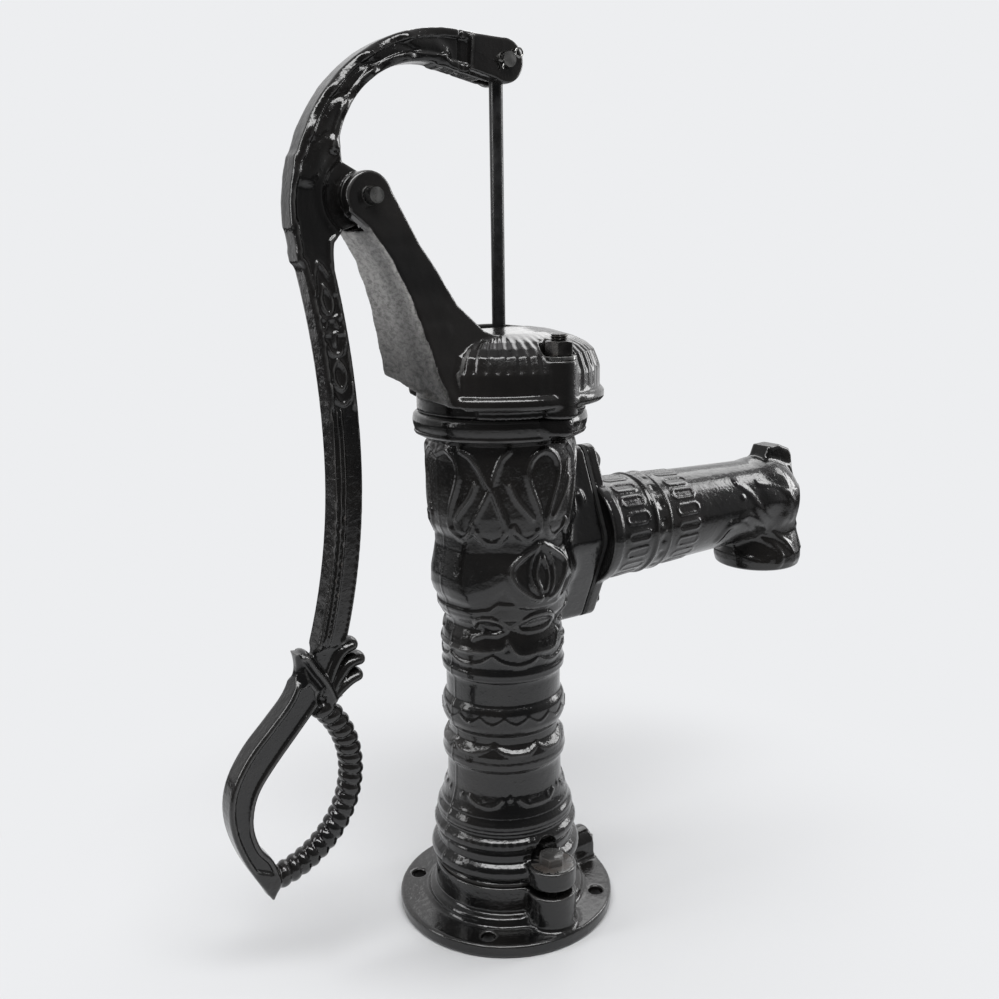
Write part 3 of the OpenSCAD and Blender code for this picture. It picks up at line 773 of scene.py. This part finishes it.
def spout():
    b = Block((73.5, -44, 218), (319, 44, 362), 1.0)
    x, y, z = b.x, b.y, b.z - SPOUT_Z
    r = np.hypot(y, z)
    around = np.arctan2(z, y)
    tube_r = np.interp(x, [75, 86, 114, 145, 185, 240, ELBOW_X], [41, 40.6, 39.4, 38.2, 36.8, 35.2, 34.6])
    cast = r - tube_r
    # Cast bands: rounded panels either side of a pebbled ring
    step = 2 * math.pi / 18
    for middle in (102, 156.5):
        arc_mm = (np.mod(around + step / 2, step) - step / 2) * tube_r
        panel = line(x - middle, arc_mm, [(-7.5, 0), (7.5, 0)]) - 3.9
        cast = cast - 0.75 * ridge(np.abs(panel), 1.2)
    arc_mm = (np.mod(around, step) - step / 2) * tube_r
    ring = ramp(118, 120, x) * ramp(137.5, 135.5, x)
    cast = cast - 1.2 * ring + 1.3 * bump(np.hypot((x - 128) / 5.2, arc_mm / 6.0), 1)
    cast = cast - 0.8 * bump(np.abs(x - 121), 1.8) - 0.8 * bump(np.abs(x - 135), 1.8)
    ball = np.sqrt((x - ELBOW_X) ** 2 + y**2 + z**2)
    mouth = b.near((230, -44, 218), (319, 44, 300))
    bell = [(0, 300), (31, 300), (31.5, 272), (32.4, 262), (35.4, 252), (37.7, 243), (37.8, 237),
            (36.4, 231.5), (33.5, 230), (0, 230)]
    b.add(np.maximum(np.maximum(cast, SPOUT_FACE - x), x - ELBOW_X))
    b.add(ball - 36.3, 5)
    mouth.add(lathe(mouth, bell, MOUTH_X, 0), 7)

    # Cast swirls on the elbow, the same on both sides: width, height, then (x, z) points
    strokes = [
        (5.0, 0.7, [(223, 310), (231, 303), (239, 292), (248, 283), (261, 270)]),
        (5.0, 0.9, [(244, 310), (261, 305), (276, 297), (282, 286), (282, 275)]),
        (5.5, 1.1, [(218, 283), (227, 285), (242, 276), (259, 267)]),
        (5.5, 1.2, [(196, 268), (204, 279), (218, 280), (228, 273), (247, 262)]),
        (4.5, 1.3, [(298, 266), (306, 258), (307, 244)]),
        (4.5, 1.4, [(250, 262), (262, 254), (268, 244), (266, 236)]),
        (4.5, 1.4, [(258, 266), (274, 256), (282, 246), (284, 238)]),
    ]
    part = b.near((180, -44, 218), (319, 44, 362))
    px, pz = part.x, part.z
    aside = ramp(6, 14, np.abs(part.y))
    add = 0
    for width, tall, points in strokes:
        add = np.maximum(add, tall * bump(line(px, pz, smooth(points)), width))
    for centre, size, tall in KNOBS:
        add = np.maximum(add, tall * bump(disc(px, pz, centre, 0), size))
    hollow = outline(px, pz, smooth([(240, 262), (256, 264), (264, 252), (256, 240), (243, 243), (238, 252)]))
    add = add - 1.6 * ramp(1, -4, hollow)
    part.d -= (add * aside).astype(np.float32)

    crest = b.near((255, -20, 282), (319, 20, 362))
    fin = [(266, 314), (271, 322), (277, 335.5), (290, 336), (303, 331), (306, 326), (309.5, 306), (312, 288),
           (300, 280), (276, 284)]
    root = [(262, 316), (268, 323), (304, 317), (313, 296), (300, 288), (275, 300)]
    crest.add(plate(outline(crest.x, crest.z, fin), crest.y, 10.5, 3), 2.5)
    crest.add(plate(outline(crest.x, crest.z, root), crest.y, 12.5, 2.5), 1.5)

    flange = b.near((73, -44, 218), (92, 44, 362))
    flange.add(plate(outline(flange.y, flange.z - SPOUT_Z, FLANGE), flange.x - 79.5, 4.5, 1.5), 2)
    flange.add(plate(np.hypot(flange.y, flange.z - SPOUT_Z) - 42.5, flange.x - 80, 5.2, 2.4), 1.5)
    b.cut(np.maximum(r - PASSAGE_R, x - ELBOW_X))
    b.cut(ball - PASSAGE_R)
    mouth.cut(np.maximum(disc(mouth.x, mouth.y, (MOUTH_X, 0), 26), mouth.z - 290), 3)
    for side in (-1, 1):
        hole = np.hypot(flange.y, flange.z - SPOUT_Z - SPOUT_BOLT * side)
        flange.cut(hole - 4.5)
        flange.cut(np.maximum(hole - 9, 84 - flange.x))
    b.cut(x - SPOUT_FACE)
    install(new_piece("spout_cast", *b.skin()), ENAMEL, "spout")


# ---------- bonnet ----------

DOME = [
    (0, 393), (62, 393), (62, 398), (73, 400), (75, 402), (75, 406.5), (73.4, 408.5), (72, 409.6),
    (72, 423.5), (71.2, 426), (69.8, 430), (67.5, 435.5), (62, 440.2), (54, 444), (39, 448.4), (23, 451.8),
    (0, 454),
]
CHEEK = np.vstack([
    [(-63, -4), (-66, 5), (-72, 20), (-79, 45), (-87, 72), (-98, 98), (-111, 117), (-124, 128)],
    arc((-108.5, 137), 16.5, 205, 15, 16),
    [(-79, 113), (-65, 89), (-53, 68), (-34, 50), (-14, 42), (-14, 32), (-36, -4)],
])
WEB_BACK = [
    (-66, 402), (-74, 421), (-81, 447), (-88, 473), (-98, 498), (-110, 516), (-103, 520), (-90, 503),
    (-80, 476), (-73, 450), (-66, 424), (-56, 402),
]


def bonnet():
    b = Block((-128, -77.5, 392), (78, 77.5, 557), 1.05)
    dome = b.near((-78, -77.5, 392), (78, 77.5, 456))
    dome.add(lathe(dome, DOME))
    angle = np.arctan2(dome.y, dome.x)
    radius = np.hypot(dome.x, dome.y)
    flute = 0.5 - 0.5 * np.cos(56 * angle)
    fade = ramp(40, 58, radius) * ramp(410, 413, dome.z)
    fade = fade * (0.35 + 0.65 * ramp(422, 427, dome.z))
    dome.d += (1.0 * flute * fade).astype(np.float32)
    dome.cut(np.maximum(radius - 46, dome.z - 423))
    lean = math.radians(9.5)
    for side in (-1, 1):
        boss = dome.near((-12, side * 64 - 16, 392), (22, side * 64 + 16, 456))
        boss.add(plate(disc(boss.x, boss.y, (STUD[0], side * STUD[1]), 12.5), boss.z - 412.5, 19.5, 1.2), 2)
        part = b.near((-128, min(0, side * 50), 394), (-8, max(0, side * 50), 557))
        away = side * part.y - 42
        flat = away * math.cos(lean) + (part.z - 402) * math.sin(lean)
        rise = -away * math.sin(lean) + (part.z - 402) * math.cos(lean)
        shape = outline(part.x, rise, CHEEK)
        part.add(plate(shape, flat + 4.5, 4.5, 1.4), 2)
        hub = b.near((-128, min(0, side * 24), 515), (-88, max(0, side * 24), 557))
        hub.add(plate(disc(hub.x, hub.z, FULCRUM, 15.5), hub.y - side * 15.3, 4.3, 0.8), 0.8)
    web = b.near((-128, -45, 398), (-50, 45, 525))
    between = np.abs(web.y) - (40 - (web.z - 401) * math.tan(lean))
    web.add(np.maximum(outline(web.x, web.z, WEB_BACK), between), 3)
    lumps = np.sin(web.y * 0.31 + 1.3 * np.sin(web.z * 0.11))
    lumps = lumps * np.sin(web.z * 0.23 + 1.7 * np.sin(web.y * 0.17))
    web.d += (0.45 * lumps * ramp(-58, -64, web.x) * ramp(525, 505, web.z)).astype(np.float32)
    # The rim stops under the bracket, whose lower edge slopes
    back = b.near((-128, -77.5, 392), (-40, 77.5, 430))
    under = back.z - (402 + 0.21 * np.clip(back.y + 42, 0, 84))
    behind = np.maximum(back.x + 46 - 17 * ramp(30, 50, back.y), -44 - back.y)
    back.cut(np.maximum(np.maximum(under, behind), 60 - np.hypot(back.x, back.y)), 1)
    # Clear of the lever, the pin, the studs and the rod
    hub = b.near((-130, -12, 510), (-86, 12, 558))
    hub.cut(np.maximum(disc(hub.x, hub.z, FULCRUM, 19), np.abs(hub.y) - 10.6))
    hub = b.near((-128, -30, 515), (-88, 30, 557))
    hub.cut(disc(hub.x, hub.z, FULCRUM, PIN_HOLE))
    slot = dome.near((-30, -20, 410), (40, 20, 456))
    slot.cut(line(slot.x, slot.y, [(-8, 0), (17, 0)]) - 17, 1.5)
    for side in (-1, 1):
        boss = b.near((-14, side * 64 - 18, 392), (26, side * 64 + 18, 460))
        hole = disc(boss.x, boss.y, (STUD[0], side * STUD[1]), 0)
        boss.cut(hole - 6.5)
        boss.cut(np.maximum(hole - 13.5, BOSS_TOP - boss.z), 0.8)
    b.cut(b.z - COLUMN_TOP)
    install(new_piece("bonnet_cast", *b.skin()), WEB, "bonnet")


# ---------- lever ----------

FORK = [(-48, 642), (-20, 642), (3, 641.3), (8, 614.5), (-12, 613.5), (-30, 617), (-50, 621)]
HUB = [
    (-153, 498), (-156, 516), (-156, 534), (-151, 560), (-124, 569), (-120, 559), (-108, 553),
    (-108, 521), (-121, 517), (-129, 509), (-132, 496),
]
BLADE = np.vstack([
    smooth([(-167, 243), (-169, 230), (-176, 214), (-190, 199), (-206, 183), (-218, 165), (-223, 147),
            (-222, 128), (-216, 108), (-207, 89), (-197, 71)]),
    smooth([(-190, 84), (-195, 101), (-203, 113), (-207, 128), (-206, 142), (-201, 155), (-190, 169),
            (-176, 184), (-160, 201), (-148, 214)]),
])
KNOT = [(-170, 244), (-158, 238), (-146, 236), (-140, 222), (-136, 205), (-150, 200), (-165, 208)]
TASSELS = [
    [(-150, 212), (-143, 228), (-136, 238), (-128, 241)],
    [(-147, 208), (-140, 219), (-131, 228), (-123, 229.5)],
    [(-146, 205), (-139, 211), (-131, 216), (-125, 218)],
]
# Ornament on the limb's faces: width, then (across the limb, height) points
LIMB_ORNAMENT = [
    (2.6, [(-6, 478), (-5, 488), (0, 497), (5, 488), (6, 478)]),
    (2.4, [(0, 483), (-3.6, 476), (-3.0, 469), (0, 465), (3.0, 469), (3.6, 476), (0, 483)]),
    (2.4, [(-6.5, 464), (-3, 460), (-6.5, 453), (-1.5, 453), (0, 446), (1.5, 453), (6.5, 453), (3, 460),
           (6.5, 464), (0, 462), (-6.5, 464)]),
    (2.4, [(-6, 447), (-4, 441), (0, 439), (4, 441), (6, 447)]),
    (2.4, [(0, 436), (-4, 430), (-4, 422), (0, 417), (4, 422), (4, 430), (0, 436)]),
    (2.6, [(-7, 420), (-5, 411), (0, 407), (5, 411), (7, 420)]),
]


def limb_middle(z):
    """X of the middle of the lever's long limb."""
    up = -126.5 - 590 + np.sqrt(590**2 - (z - 368) ** 2)
    down = -126.5 - 435 + np.sqrt(435**2 - (z - 368) ** 2)
    return np.where(z > 368, up, down)


def outer_side(x, z):
    """1 on the outer half of the grip's blade and 0 on its inner half."""
    return ramp(-0.3, 0.3, np.tanh(disc(x, z, (ROPE[0] - 40, ROPE[1]), 100) / 10))


def lever():
    b = Block((-228, -15, 68), (16, 15, 648), 0.95)
    x, z = b.x, b.z
    arch_band = np.vstack([arc(ARCH, 116, 76, 184, 32), arc(HOLLOW, 66, 192, 80, 32)])
    top = outline(x, z, arch_band)
    limb = np.minimum(
        outline(x, z, band((-716.5, 368), 579.75, 600.25, -0.5, 13.5, 12)),
        outline(x, z, band((-561.5, 368), 424.75, 445.25, -18.5, 0.5, 12)),
    )
    flat = blend_min(blend_min(top, limb, 5), outline(x, z, HUB), 6)
    flat = blend_min(flat, outline(x, z, FORK), 3)
    blade, knot = outline(x, z, BLADE), outline(x, z, KNOT)
    flat = blend_min(flat, blend_min(blade, knot, 2), 3)

    # Half thickness over the side view: rails along the edges, ornament between them
    across = x - limb_middle(np.clip(z, 230, 505))
    rail = 3.6 + 2.0 * ramp(540, 570, z)
    half = 6.8 + 2.2 * ramp(0.8, -0.8, -flat - rail)
    plain = ramp(242, 252, z) * ramp(407, 402, z) * ramp(-14, -12, across) * ramp(14, 12, across)
    ribs = 1.7 * np.maximum(ramp(-8.2, -8.8, across), ramp(8.6, 9.2, across))
    for place in (5.6, 2.6):
        ribs = np.maximum(ribs, 1.5 * bump(np.abs(across + place), 1.7))
    half = half * (1 - plain) + (7.0 + 1.15 * ribs) * plain
    relief = 0
    for width, points in LIMB_ORNAMENT:
        relief = np.maximum(relief, 1.5 * bump(line(across, z, smooth(points, 3)), width))
    angle = np.degrees(np.arctan2(z - ARCH[1], x - ARCH[0]))
    out = np.hypot(x - ARCH[0], z - ARCH[1])
    inner = np.interp(angle, [80, 95, 120, 140, 160, 180], [86, 93.6, 99.2, 97, 89.6, 80])
    share = (out - inner) / (116 - inner)
    arc_mm = 105 * math.radians(1)
    for start in (96, 112, 128, 144, 158):
        leaf = smooth([(start - 3, 0.3), (start + 1, 0.46), (start + 7, 0.55), (start + 11, 0.76)])
        reach = line(angle * arc_mm, share * 20, leaf * (arc_mm, 20))
        relief = np.maximum(relief, 2.4 * bump(reach, 8.5))
    half = half + relief
    half = half - 1.4 * bump(np.abs(x + 33), 1.6) * ramp(612, 616, z)
    hub = np.hypot(x - FULCRUM[0], z - FULCRUM[1])
    half = half * ramp(28, 33, hub) + (7.8 - 1.7 * ramp(28, 24, hub)) * ramp(33, 28, hub)
    outer = outer_side(x, z)
    inside = ramp(-3.0, -4.4, blade + 5 * outer) * ramp(90, 93, z + 0.5 * (x + 195))
    inside = inside * ramp(234, 228, z - 0.6 * (x + 170))
    handle = ramp(246, 240, z)
    half = half * (1 - handle) + (9.0 - 2.2 * inside - 4.2 * outer * ramp(-8, 0, blade)) * handle
    ribbon = smooth([(-163, 240), (-157, 230), (-150, 219), (-145, 206)])
    half = half + 1.2 * bump(line(x, z, ribbon), 5)
    half = half + 0.9 * bump(line(x, z, smooth([(-172, 238), (-180, 221), (-193, 206)])), 3)
    b.add(plate(flat, b.y, half, 2.6))

    knots = b.near((-172, -15, 196), (-114, 15, 252))
    for path in TASSELS:
        reach = line(knots.x, knots.z, smooth(path))
        knots.add(np.hypot(reach, knots.y * 0.58) - 5.0, 0.6)
    cross = line(knots.x, knots.z, ribbon)
    knots.add(np.hypot(cross, knots.y * 0.36) - 3.9, 1.2)
    boss = b.near((-128, -15, 518), (-89, 15, 557))
    boss.add(plate(disc(boss.x, boss.z, FULCRUM, 15.5), boss.y, 10, 1))

    # Rope-like grip
    rope = b.near((-228, -15, 68), (-116, 15, 222))
    dx, dz = rope.x - ROPE[0], rope.z - ROPE[1]
    turn_at = np.arctan2(dz, dx)
    out = np.hypot(dx, dz) - 68.5
    round_it = np.arctan2(rope.y, out)
    phase = 56 * turn_at + round_it
    strand = 7.1 + 1.9 * np.abs(np.sin(phase / 2)) ** 0.6
    past = np.maximum(math.radians(-90) - turn_at, turn_at - math.radians(47)) * 68.5
    rope.add(np.maximum((np.hypot(out, rope.y) - strand) * 0.8, past), 2)

    fork = b.near((-40, -15, 606), (16, 15, 648))
    block = outline(fork.x, fork.z, [(-26, 642), (-1, 641.3), (2, 612.6), (-28, 619)])
    fork.add(plate(np.minimum(block, disc(fork.x, fork.z, (0, ROD_PIN_Z), 14.5)), fork.y, 13, 2), 2)
    fork.cut(plate(np.maximum(-16 - fork.x, fork.x - 40), fork.y, 5.2))
    fork.cut(disc(fork.x, fork.z, (0, ROD_PIN_Z), PIN_HOLE))
    boss.cut(disc(boss.x, boss.z, FULCRUM, EYE_HOLE))
    install(new_piece("lever_cast", *b.skin()), ENAMEL, "lever", "lever")


# ---------- rod and fastenings ----------

def piston_rod():
    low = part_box("piston_rod")[0][2] / MM
    b = Block((-12.5, -7, 560), (12.5, 7, 641), 0.55)
    b.add(plate(disc(b.x, b.z, (0, ROD_PIN_Z), 11), b.y, 4.7, 1.3))
    b.add(np.maximum(np.hypot(b.x, b.y) - 4.75, b.z - 620), 5)
    b.cut(disc(b.x, b.z, (0, ROD_PIN_Z), EYE_HOLE))
    b.cut(b.z - 562)
    piece = new_piece("rod_eye", *b.skin())
    shaft = new_piece("rod_shaft", *turned([(3.6, low), (4.75, low + 1.4), (4.75, 566)], 40))
    combine(piece, [shaft], "UNION")
    piece.name = "piston_rod_forged"
    install(piece, MATERIALS["painted_rod"], "piston_rod", frame_body("piston_rod"))


def frame_body(node):
    """The CAD body that a node rides on."""
    return body_of(frame["nodes"][node])[0]


def hexagon(flats, height, hole=0.0, chamfer_below=False):
    """A nut or bolt head with the curved chamfer that turning leaves, on z = 0."""
    angle = np.linspace(0, 2 * math.pi, 72, endpoint=False)
    reach = flats / 2 / np.cos(np.mod(angle, math.pi / 3) - math.pi / 6)
    face = flats / 2 * 0.95
    drop = (reach - face) * math.tan(math.radians(30))

    def ring(radius, z):
        radius, z = np.broadcast_to(radius, angle.shape), np.broadcast_to(z, angle.shape)
        return np.stack([radius * np.cos(angle), radius * np.sin(angle), z], 1)

    rings = [ring(face, 0), ring(reach, drop)] if chamfer_below else [ring(reach, 0)]
    rings += [ring(reach, height - drop), ring(face, height)]
    if hole:
        rings += [ring(hole + 0.6, height), ring(hole, height - 0.6), ring(hole, 0)]
        return sheet(rings, closed_ends=False)
    return sheet(rings)


def thread(radius, low, high, pitch):
    """A threaded shank with a chamfered end."""
    rows = np.arange(low, high + 0.01, pitch / 6)
    angle = np.linspace(0, 2 * math.pi, 40, endpoint=False)
    rings = []
    for z in rows:
        phase = np.mod(z / pitch - angle / (2 * math.pi), 1)
        depth = 0.62 * pitch * (1 - np.abs(2 * phase - 1))
        limit = radius - np.maximum(0, z - high + 1.2)
        reach = np.minimum(radius - depth, limit)
        rings.append(np.stack([reach * np.cos(angle), reach * np.sin(angle), np.full(angle.shape, z)], 1))
    return sheet(rings)


def washer(inner, outer, thick):
    """A washer with its edges bevelled."""
    e = 0.4
    return turned([(inner + e, 0), (outer - e, 0), (outer, e), (outer, thick - e), (outer - e, thick),
                   (inner + e, thick), (inner, thick - e), (inner, e)], 64, closed_ends=False)


def split_pin(reach):
    """A split pin along Z: two legs from one wire, with an eye above and the ends spread below."""
    wire, eye_r = 0.66, 2.9
    turns = np.radians(np.linspace(20, 340, 18))
    eye = [(eye_r * math.sin(a), 0, reach + 3.0 - eye_r * math.cos(a)) for a in turns]
    right = [(wire + 2.6, 0, -reach - 0.3), (wire + 1.2, 0, -reach + 1.0), (wire, 0, -reach + 2.4),
             (wire, 0, reach)]
    left = [(-px, py, pz) for px, py, pz in reversed(right)]
    return tube([*right, *eye, *left], wire, 12)


def fastening(node, parts, material):
    """Pieces that together stand for one CAD node of fastenings."""
    points, faces = joined(parts)
    piece = new_piece(node + "_made", points, faces, sharp=35)
    install(piece, MATERIALS[material], node, frame_body(node))


def fastenings():
    def at(part, matrix):
        return placed(part[0], matrix), part[1]

    bolts, heads, studs, washers, nuts, rod_splits = [], [], [], [], [], []
    for side in (-1, 1):
        foot_at = move(0, side * EAR_Y)
        bolts += [at(hexagon(17, 6.5), foot_at @ move(z=58) @ turn(14 * side, "Z")),
                  at(turned([(4.2, 18), (5, 19), (5, 58.4)], 32), foot_at)]
        head_at = move(84, 0, SPOUT_Z + side * SPOUT_BOLT) @ turn(90, "Y")
        heads += [at(hexagon(13, 5.5), head_at @ turn(11 * side, "Z")),
                  at(turned([(3.4, -26), (4, -25), (4, 0.4)], 32), head_at)]
        stud_at = move(STUD[0], side * STUD[1])
        studs.append(at(thread(6, 375, 449, 1.75), stud_at))
        washers.append(at(washer(6.4, 12, WASHER), stud_at @ move(z=BOSS_TOP)))
        nut_at = stud_at @ move(z=BOSS_TOP + WASHER) @ turn(9 + 20 * side, "Z")
        nuts.append(at(hexagon(18, 10, 6.03, True), nut_at))
        rod_splits.append(at(split_pin(7), move(0, side * 15.4, ROD_PIN_Z) @ turn(60, "Y")))
    fastening("foot_bolts", bolts, "enamel_iron")
    fastening("spout_bolts", heads, "enamel_iron")
    fastening("bonnet_studs", studs, "dark_steel")
    fastening("bonnet_washers", washers, "zinc_steel")
    fastening("bonnet_nuts", nuts, "dark_steel")
    fastening("rod_split_pins", rod_splits, "zinc_steel")
    fastening("fulcrum_split_pins", [at(split_pin(8), move(FULCRUM[0], 23.6, FULCRUM[1]))], "zinc_steel")
    fastening("drain_plug", [
        at(turned([(5, 67), (6, 68), (6, 82)], 40), move(z=20) @ turn(90, "Y")),
        at(plug_head(9, 5.5), move(81.5, 0, 20) @ turn(90, "Y")),
    ], "zinc_steel")


def plug_head(flats, height):
    """The square of a pipe plug, slightly tapered and bevelled."""
    def square(half, z):
        c = 0.8
        ring = [(half, -half + c), (half, half - c), (half - c, half), (-half + c, half), (-half, half - c),
                (-half, -half + c), (-half + c, -half), (half - c, -half)]
        return [(px, py, z) for px, py in ring]

    half = flats / 2
    return sheet([square(half, 0), square(half - 0.2, height - 0.8), square(half - 0.9, height)])


def paint_nodes():
    """Finishes for the CAD nodes that keep their own shape."""
    slots = {s["node"]: s["material_slot"] for s in frame["record"]["subparts"]}
    for node, piece in frame["nodes"].items():
        material = PAINTED_GASKET if node == "foot_gasket" else MATERIALS[slots[node]]
        if not piece.data.materials:
            piece.data.materials.append(material)
        for i in range(len(piece.material_slots)):
            piece.material_slots[i].material = material


# ---------- studio ----------

def camera():
    spin, rise, roll = (math.radians(a) for a in (-34.12, 12.84, -0.75))
    back = Vector((math.sin(spin) * math.cos(rise), -math.cos(spin) * math.cos(rise), math.sin(rise)))
    right = Vector((math.cos(spin), math.sin(spin), 0))
    up = back.cross(right)
    right, up = math.cos(roll) * right + math.sin(roll) * up, math.cos(roll) * up - math.sin(roll) * right
    data = bpy.data.cameras.new("camera")
    data.lens = 38.25
    data.sensor_width = 36
    data.clip_start = 0.02
    eye = bpy.data.objects.new("camera", data)
    facing = Matrix((right, up, back)).transposed().to_4x4()
    eye.matrix_world = move(-0.4296, -0.6321, 0.4989) @ facing
    bpy.context.scene.collection.objects.link(eye)
    bpy.context.scene.camera = eye


def softbox(name, spin, rise, away, size, power):
    """A rectangular area light that looks at the pump's middle from an azimuth and elevation."""
    data = bpy.data.lights.new(name, "AREA")
    data.shape = "RECTANGLE"
    data.size, data.size_y = size
    data.energy = power
    lamp = bpy.data.objects.new(name, data)
    spin, rise = math.radians(spin), math.radians(rise)
    towards = Vector((math.sin(spin) * math.cos(rise), -math.cos(spin) * math.cos(rise), math.sin(rise)))
    lamp.location = Vector((0, 0, 0.3)) + towards * away
    lamp.rotation_euler = towards.to_track_quat("Z", "Y").to_euler()
    bpy.context.scene.collection.objects.link(lamp)


def surroundings():
    """A pale room that is bright beyond the object and dark behind the camera."""
    world = bpy.data.worlds.new("room")
    bpy.context.scene.world = world
    world.use_nodes = True
    world.node_tree.nodes.clear()
    w = Wiring(world.node_tree)
    way = w.node("ShaderNodeTexCoord", {}, "Generated")
    x, y = (w.node("ShaderNodeSeparateXYZ", {0: way}, i) for i in (0, 1))
    spin = math.radians(CAMERA_SIDE)
    towards = w.math("MULTIPLY_ADD", y, -math.cos(spin), w.math("MULTIPLY", x, math.sin(spin)))
    shade = w.node("ShaderNodeValToRGB", {0: w.math("MULTIPLY_ADD", towards, 0.5, 0.5)})
    levels = [(0.0, 0.85), (0.12, 0.9), (0.22, 0.72), (0.34, 0.45), (0.5, 0.30), (0.68, 0.18), (0.82, 0.10),
              (1.0, 0.07)]
    stops = shade.node.color_ramp.elements
    while len(stops) < len(levels):
        stops.new(0.5)
    for stop, (place, level) in zip(stops, levels):
        stop.position = place
        stop.color = (level, level, level * 1.01, 1)
    lit = w.node("ShaderNodeBackground", {0: shade, 1: 0.9})
    seen = w.node("ShaderNodeBackground", {0: BACKDROP})
    camera_sees = w.node("ShaderNodeLightPath", {}, "Is Camera Ray")
    both = w.node("ShaderNodeMixShader", {0: camera_sees, 1: lit, 2: seen})
    w.set(w.tree.nodes.new("ShaderNodeOutputWorld").inputs[0], both)


def floor():
    """A wide pale disc that fades into the backdrop away from the pump."""
    piece = new_piece("floor", *turned([(2600, -6), (2600, -0.2)], 64))
    s = Shader("floor", Base_Color=(0.62, 0.625, 0.635, 1), Roughness=0.9, Specular_IOR_Level=0.0)
    far = s.node("ShaderNodeVectorMath", {0: s.place}, "Value", operation="LENGTH")
    fade = s.between(far, 0.12, 0.46)
    seen = s.node("ShaderNodeLightPath", {}, "Is Camera Ray")
    level = s.math("MAXIMUM", seen, s.between(far, 1.5, 0.5, 0.05, 0.95))
    glow = s.node("ShaderNodeEmission", {"Color": BACKDROP, "Strength": level})
    both = s.node("ShaderNodeMixShader", {0: fade, 1: s.surface.outputs[0], 2: glow})
    s.set(s.tree.nodes["Material Output"].inputs["Surface"], both)
    piece.data.materials.append(s.material)


camera()
surroundings()
softbox("overhead", CAMERA_SIDE, 60, 1.5, (1.8, 0.45), 24)
softbox("left", -106, 28, 1.4, (0.4, 1.3), 9)
softbox("right", 80, 20, 1.5, (0.4, 1.1), 8)
softbox("back", 128, 40, 1.6, (1.2, 0.8), 6)
floor()
bpy.context.scene.view_settings.view_transform = "Standard"

paint_nodes()
pump_body()
foot()
spout()
bonnet()
lever()
piston_rod()
fastenings()
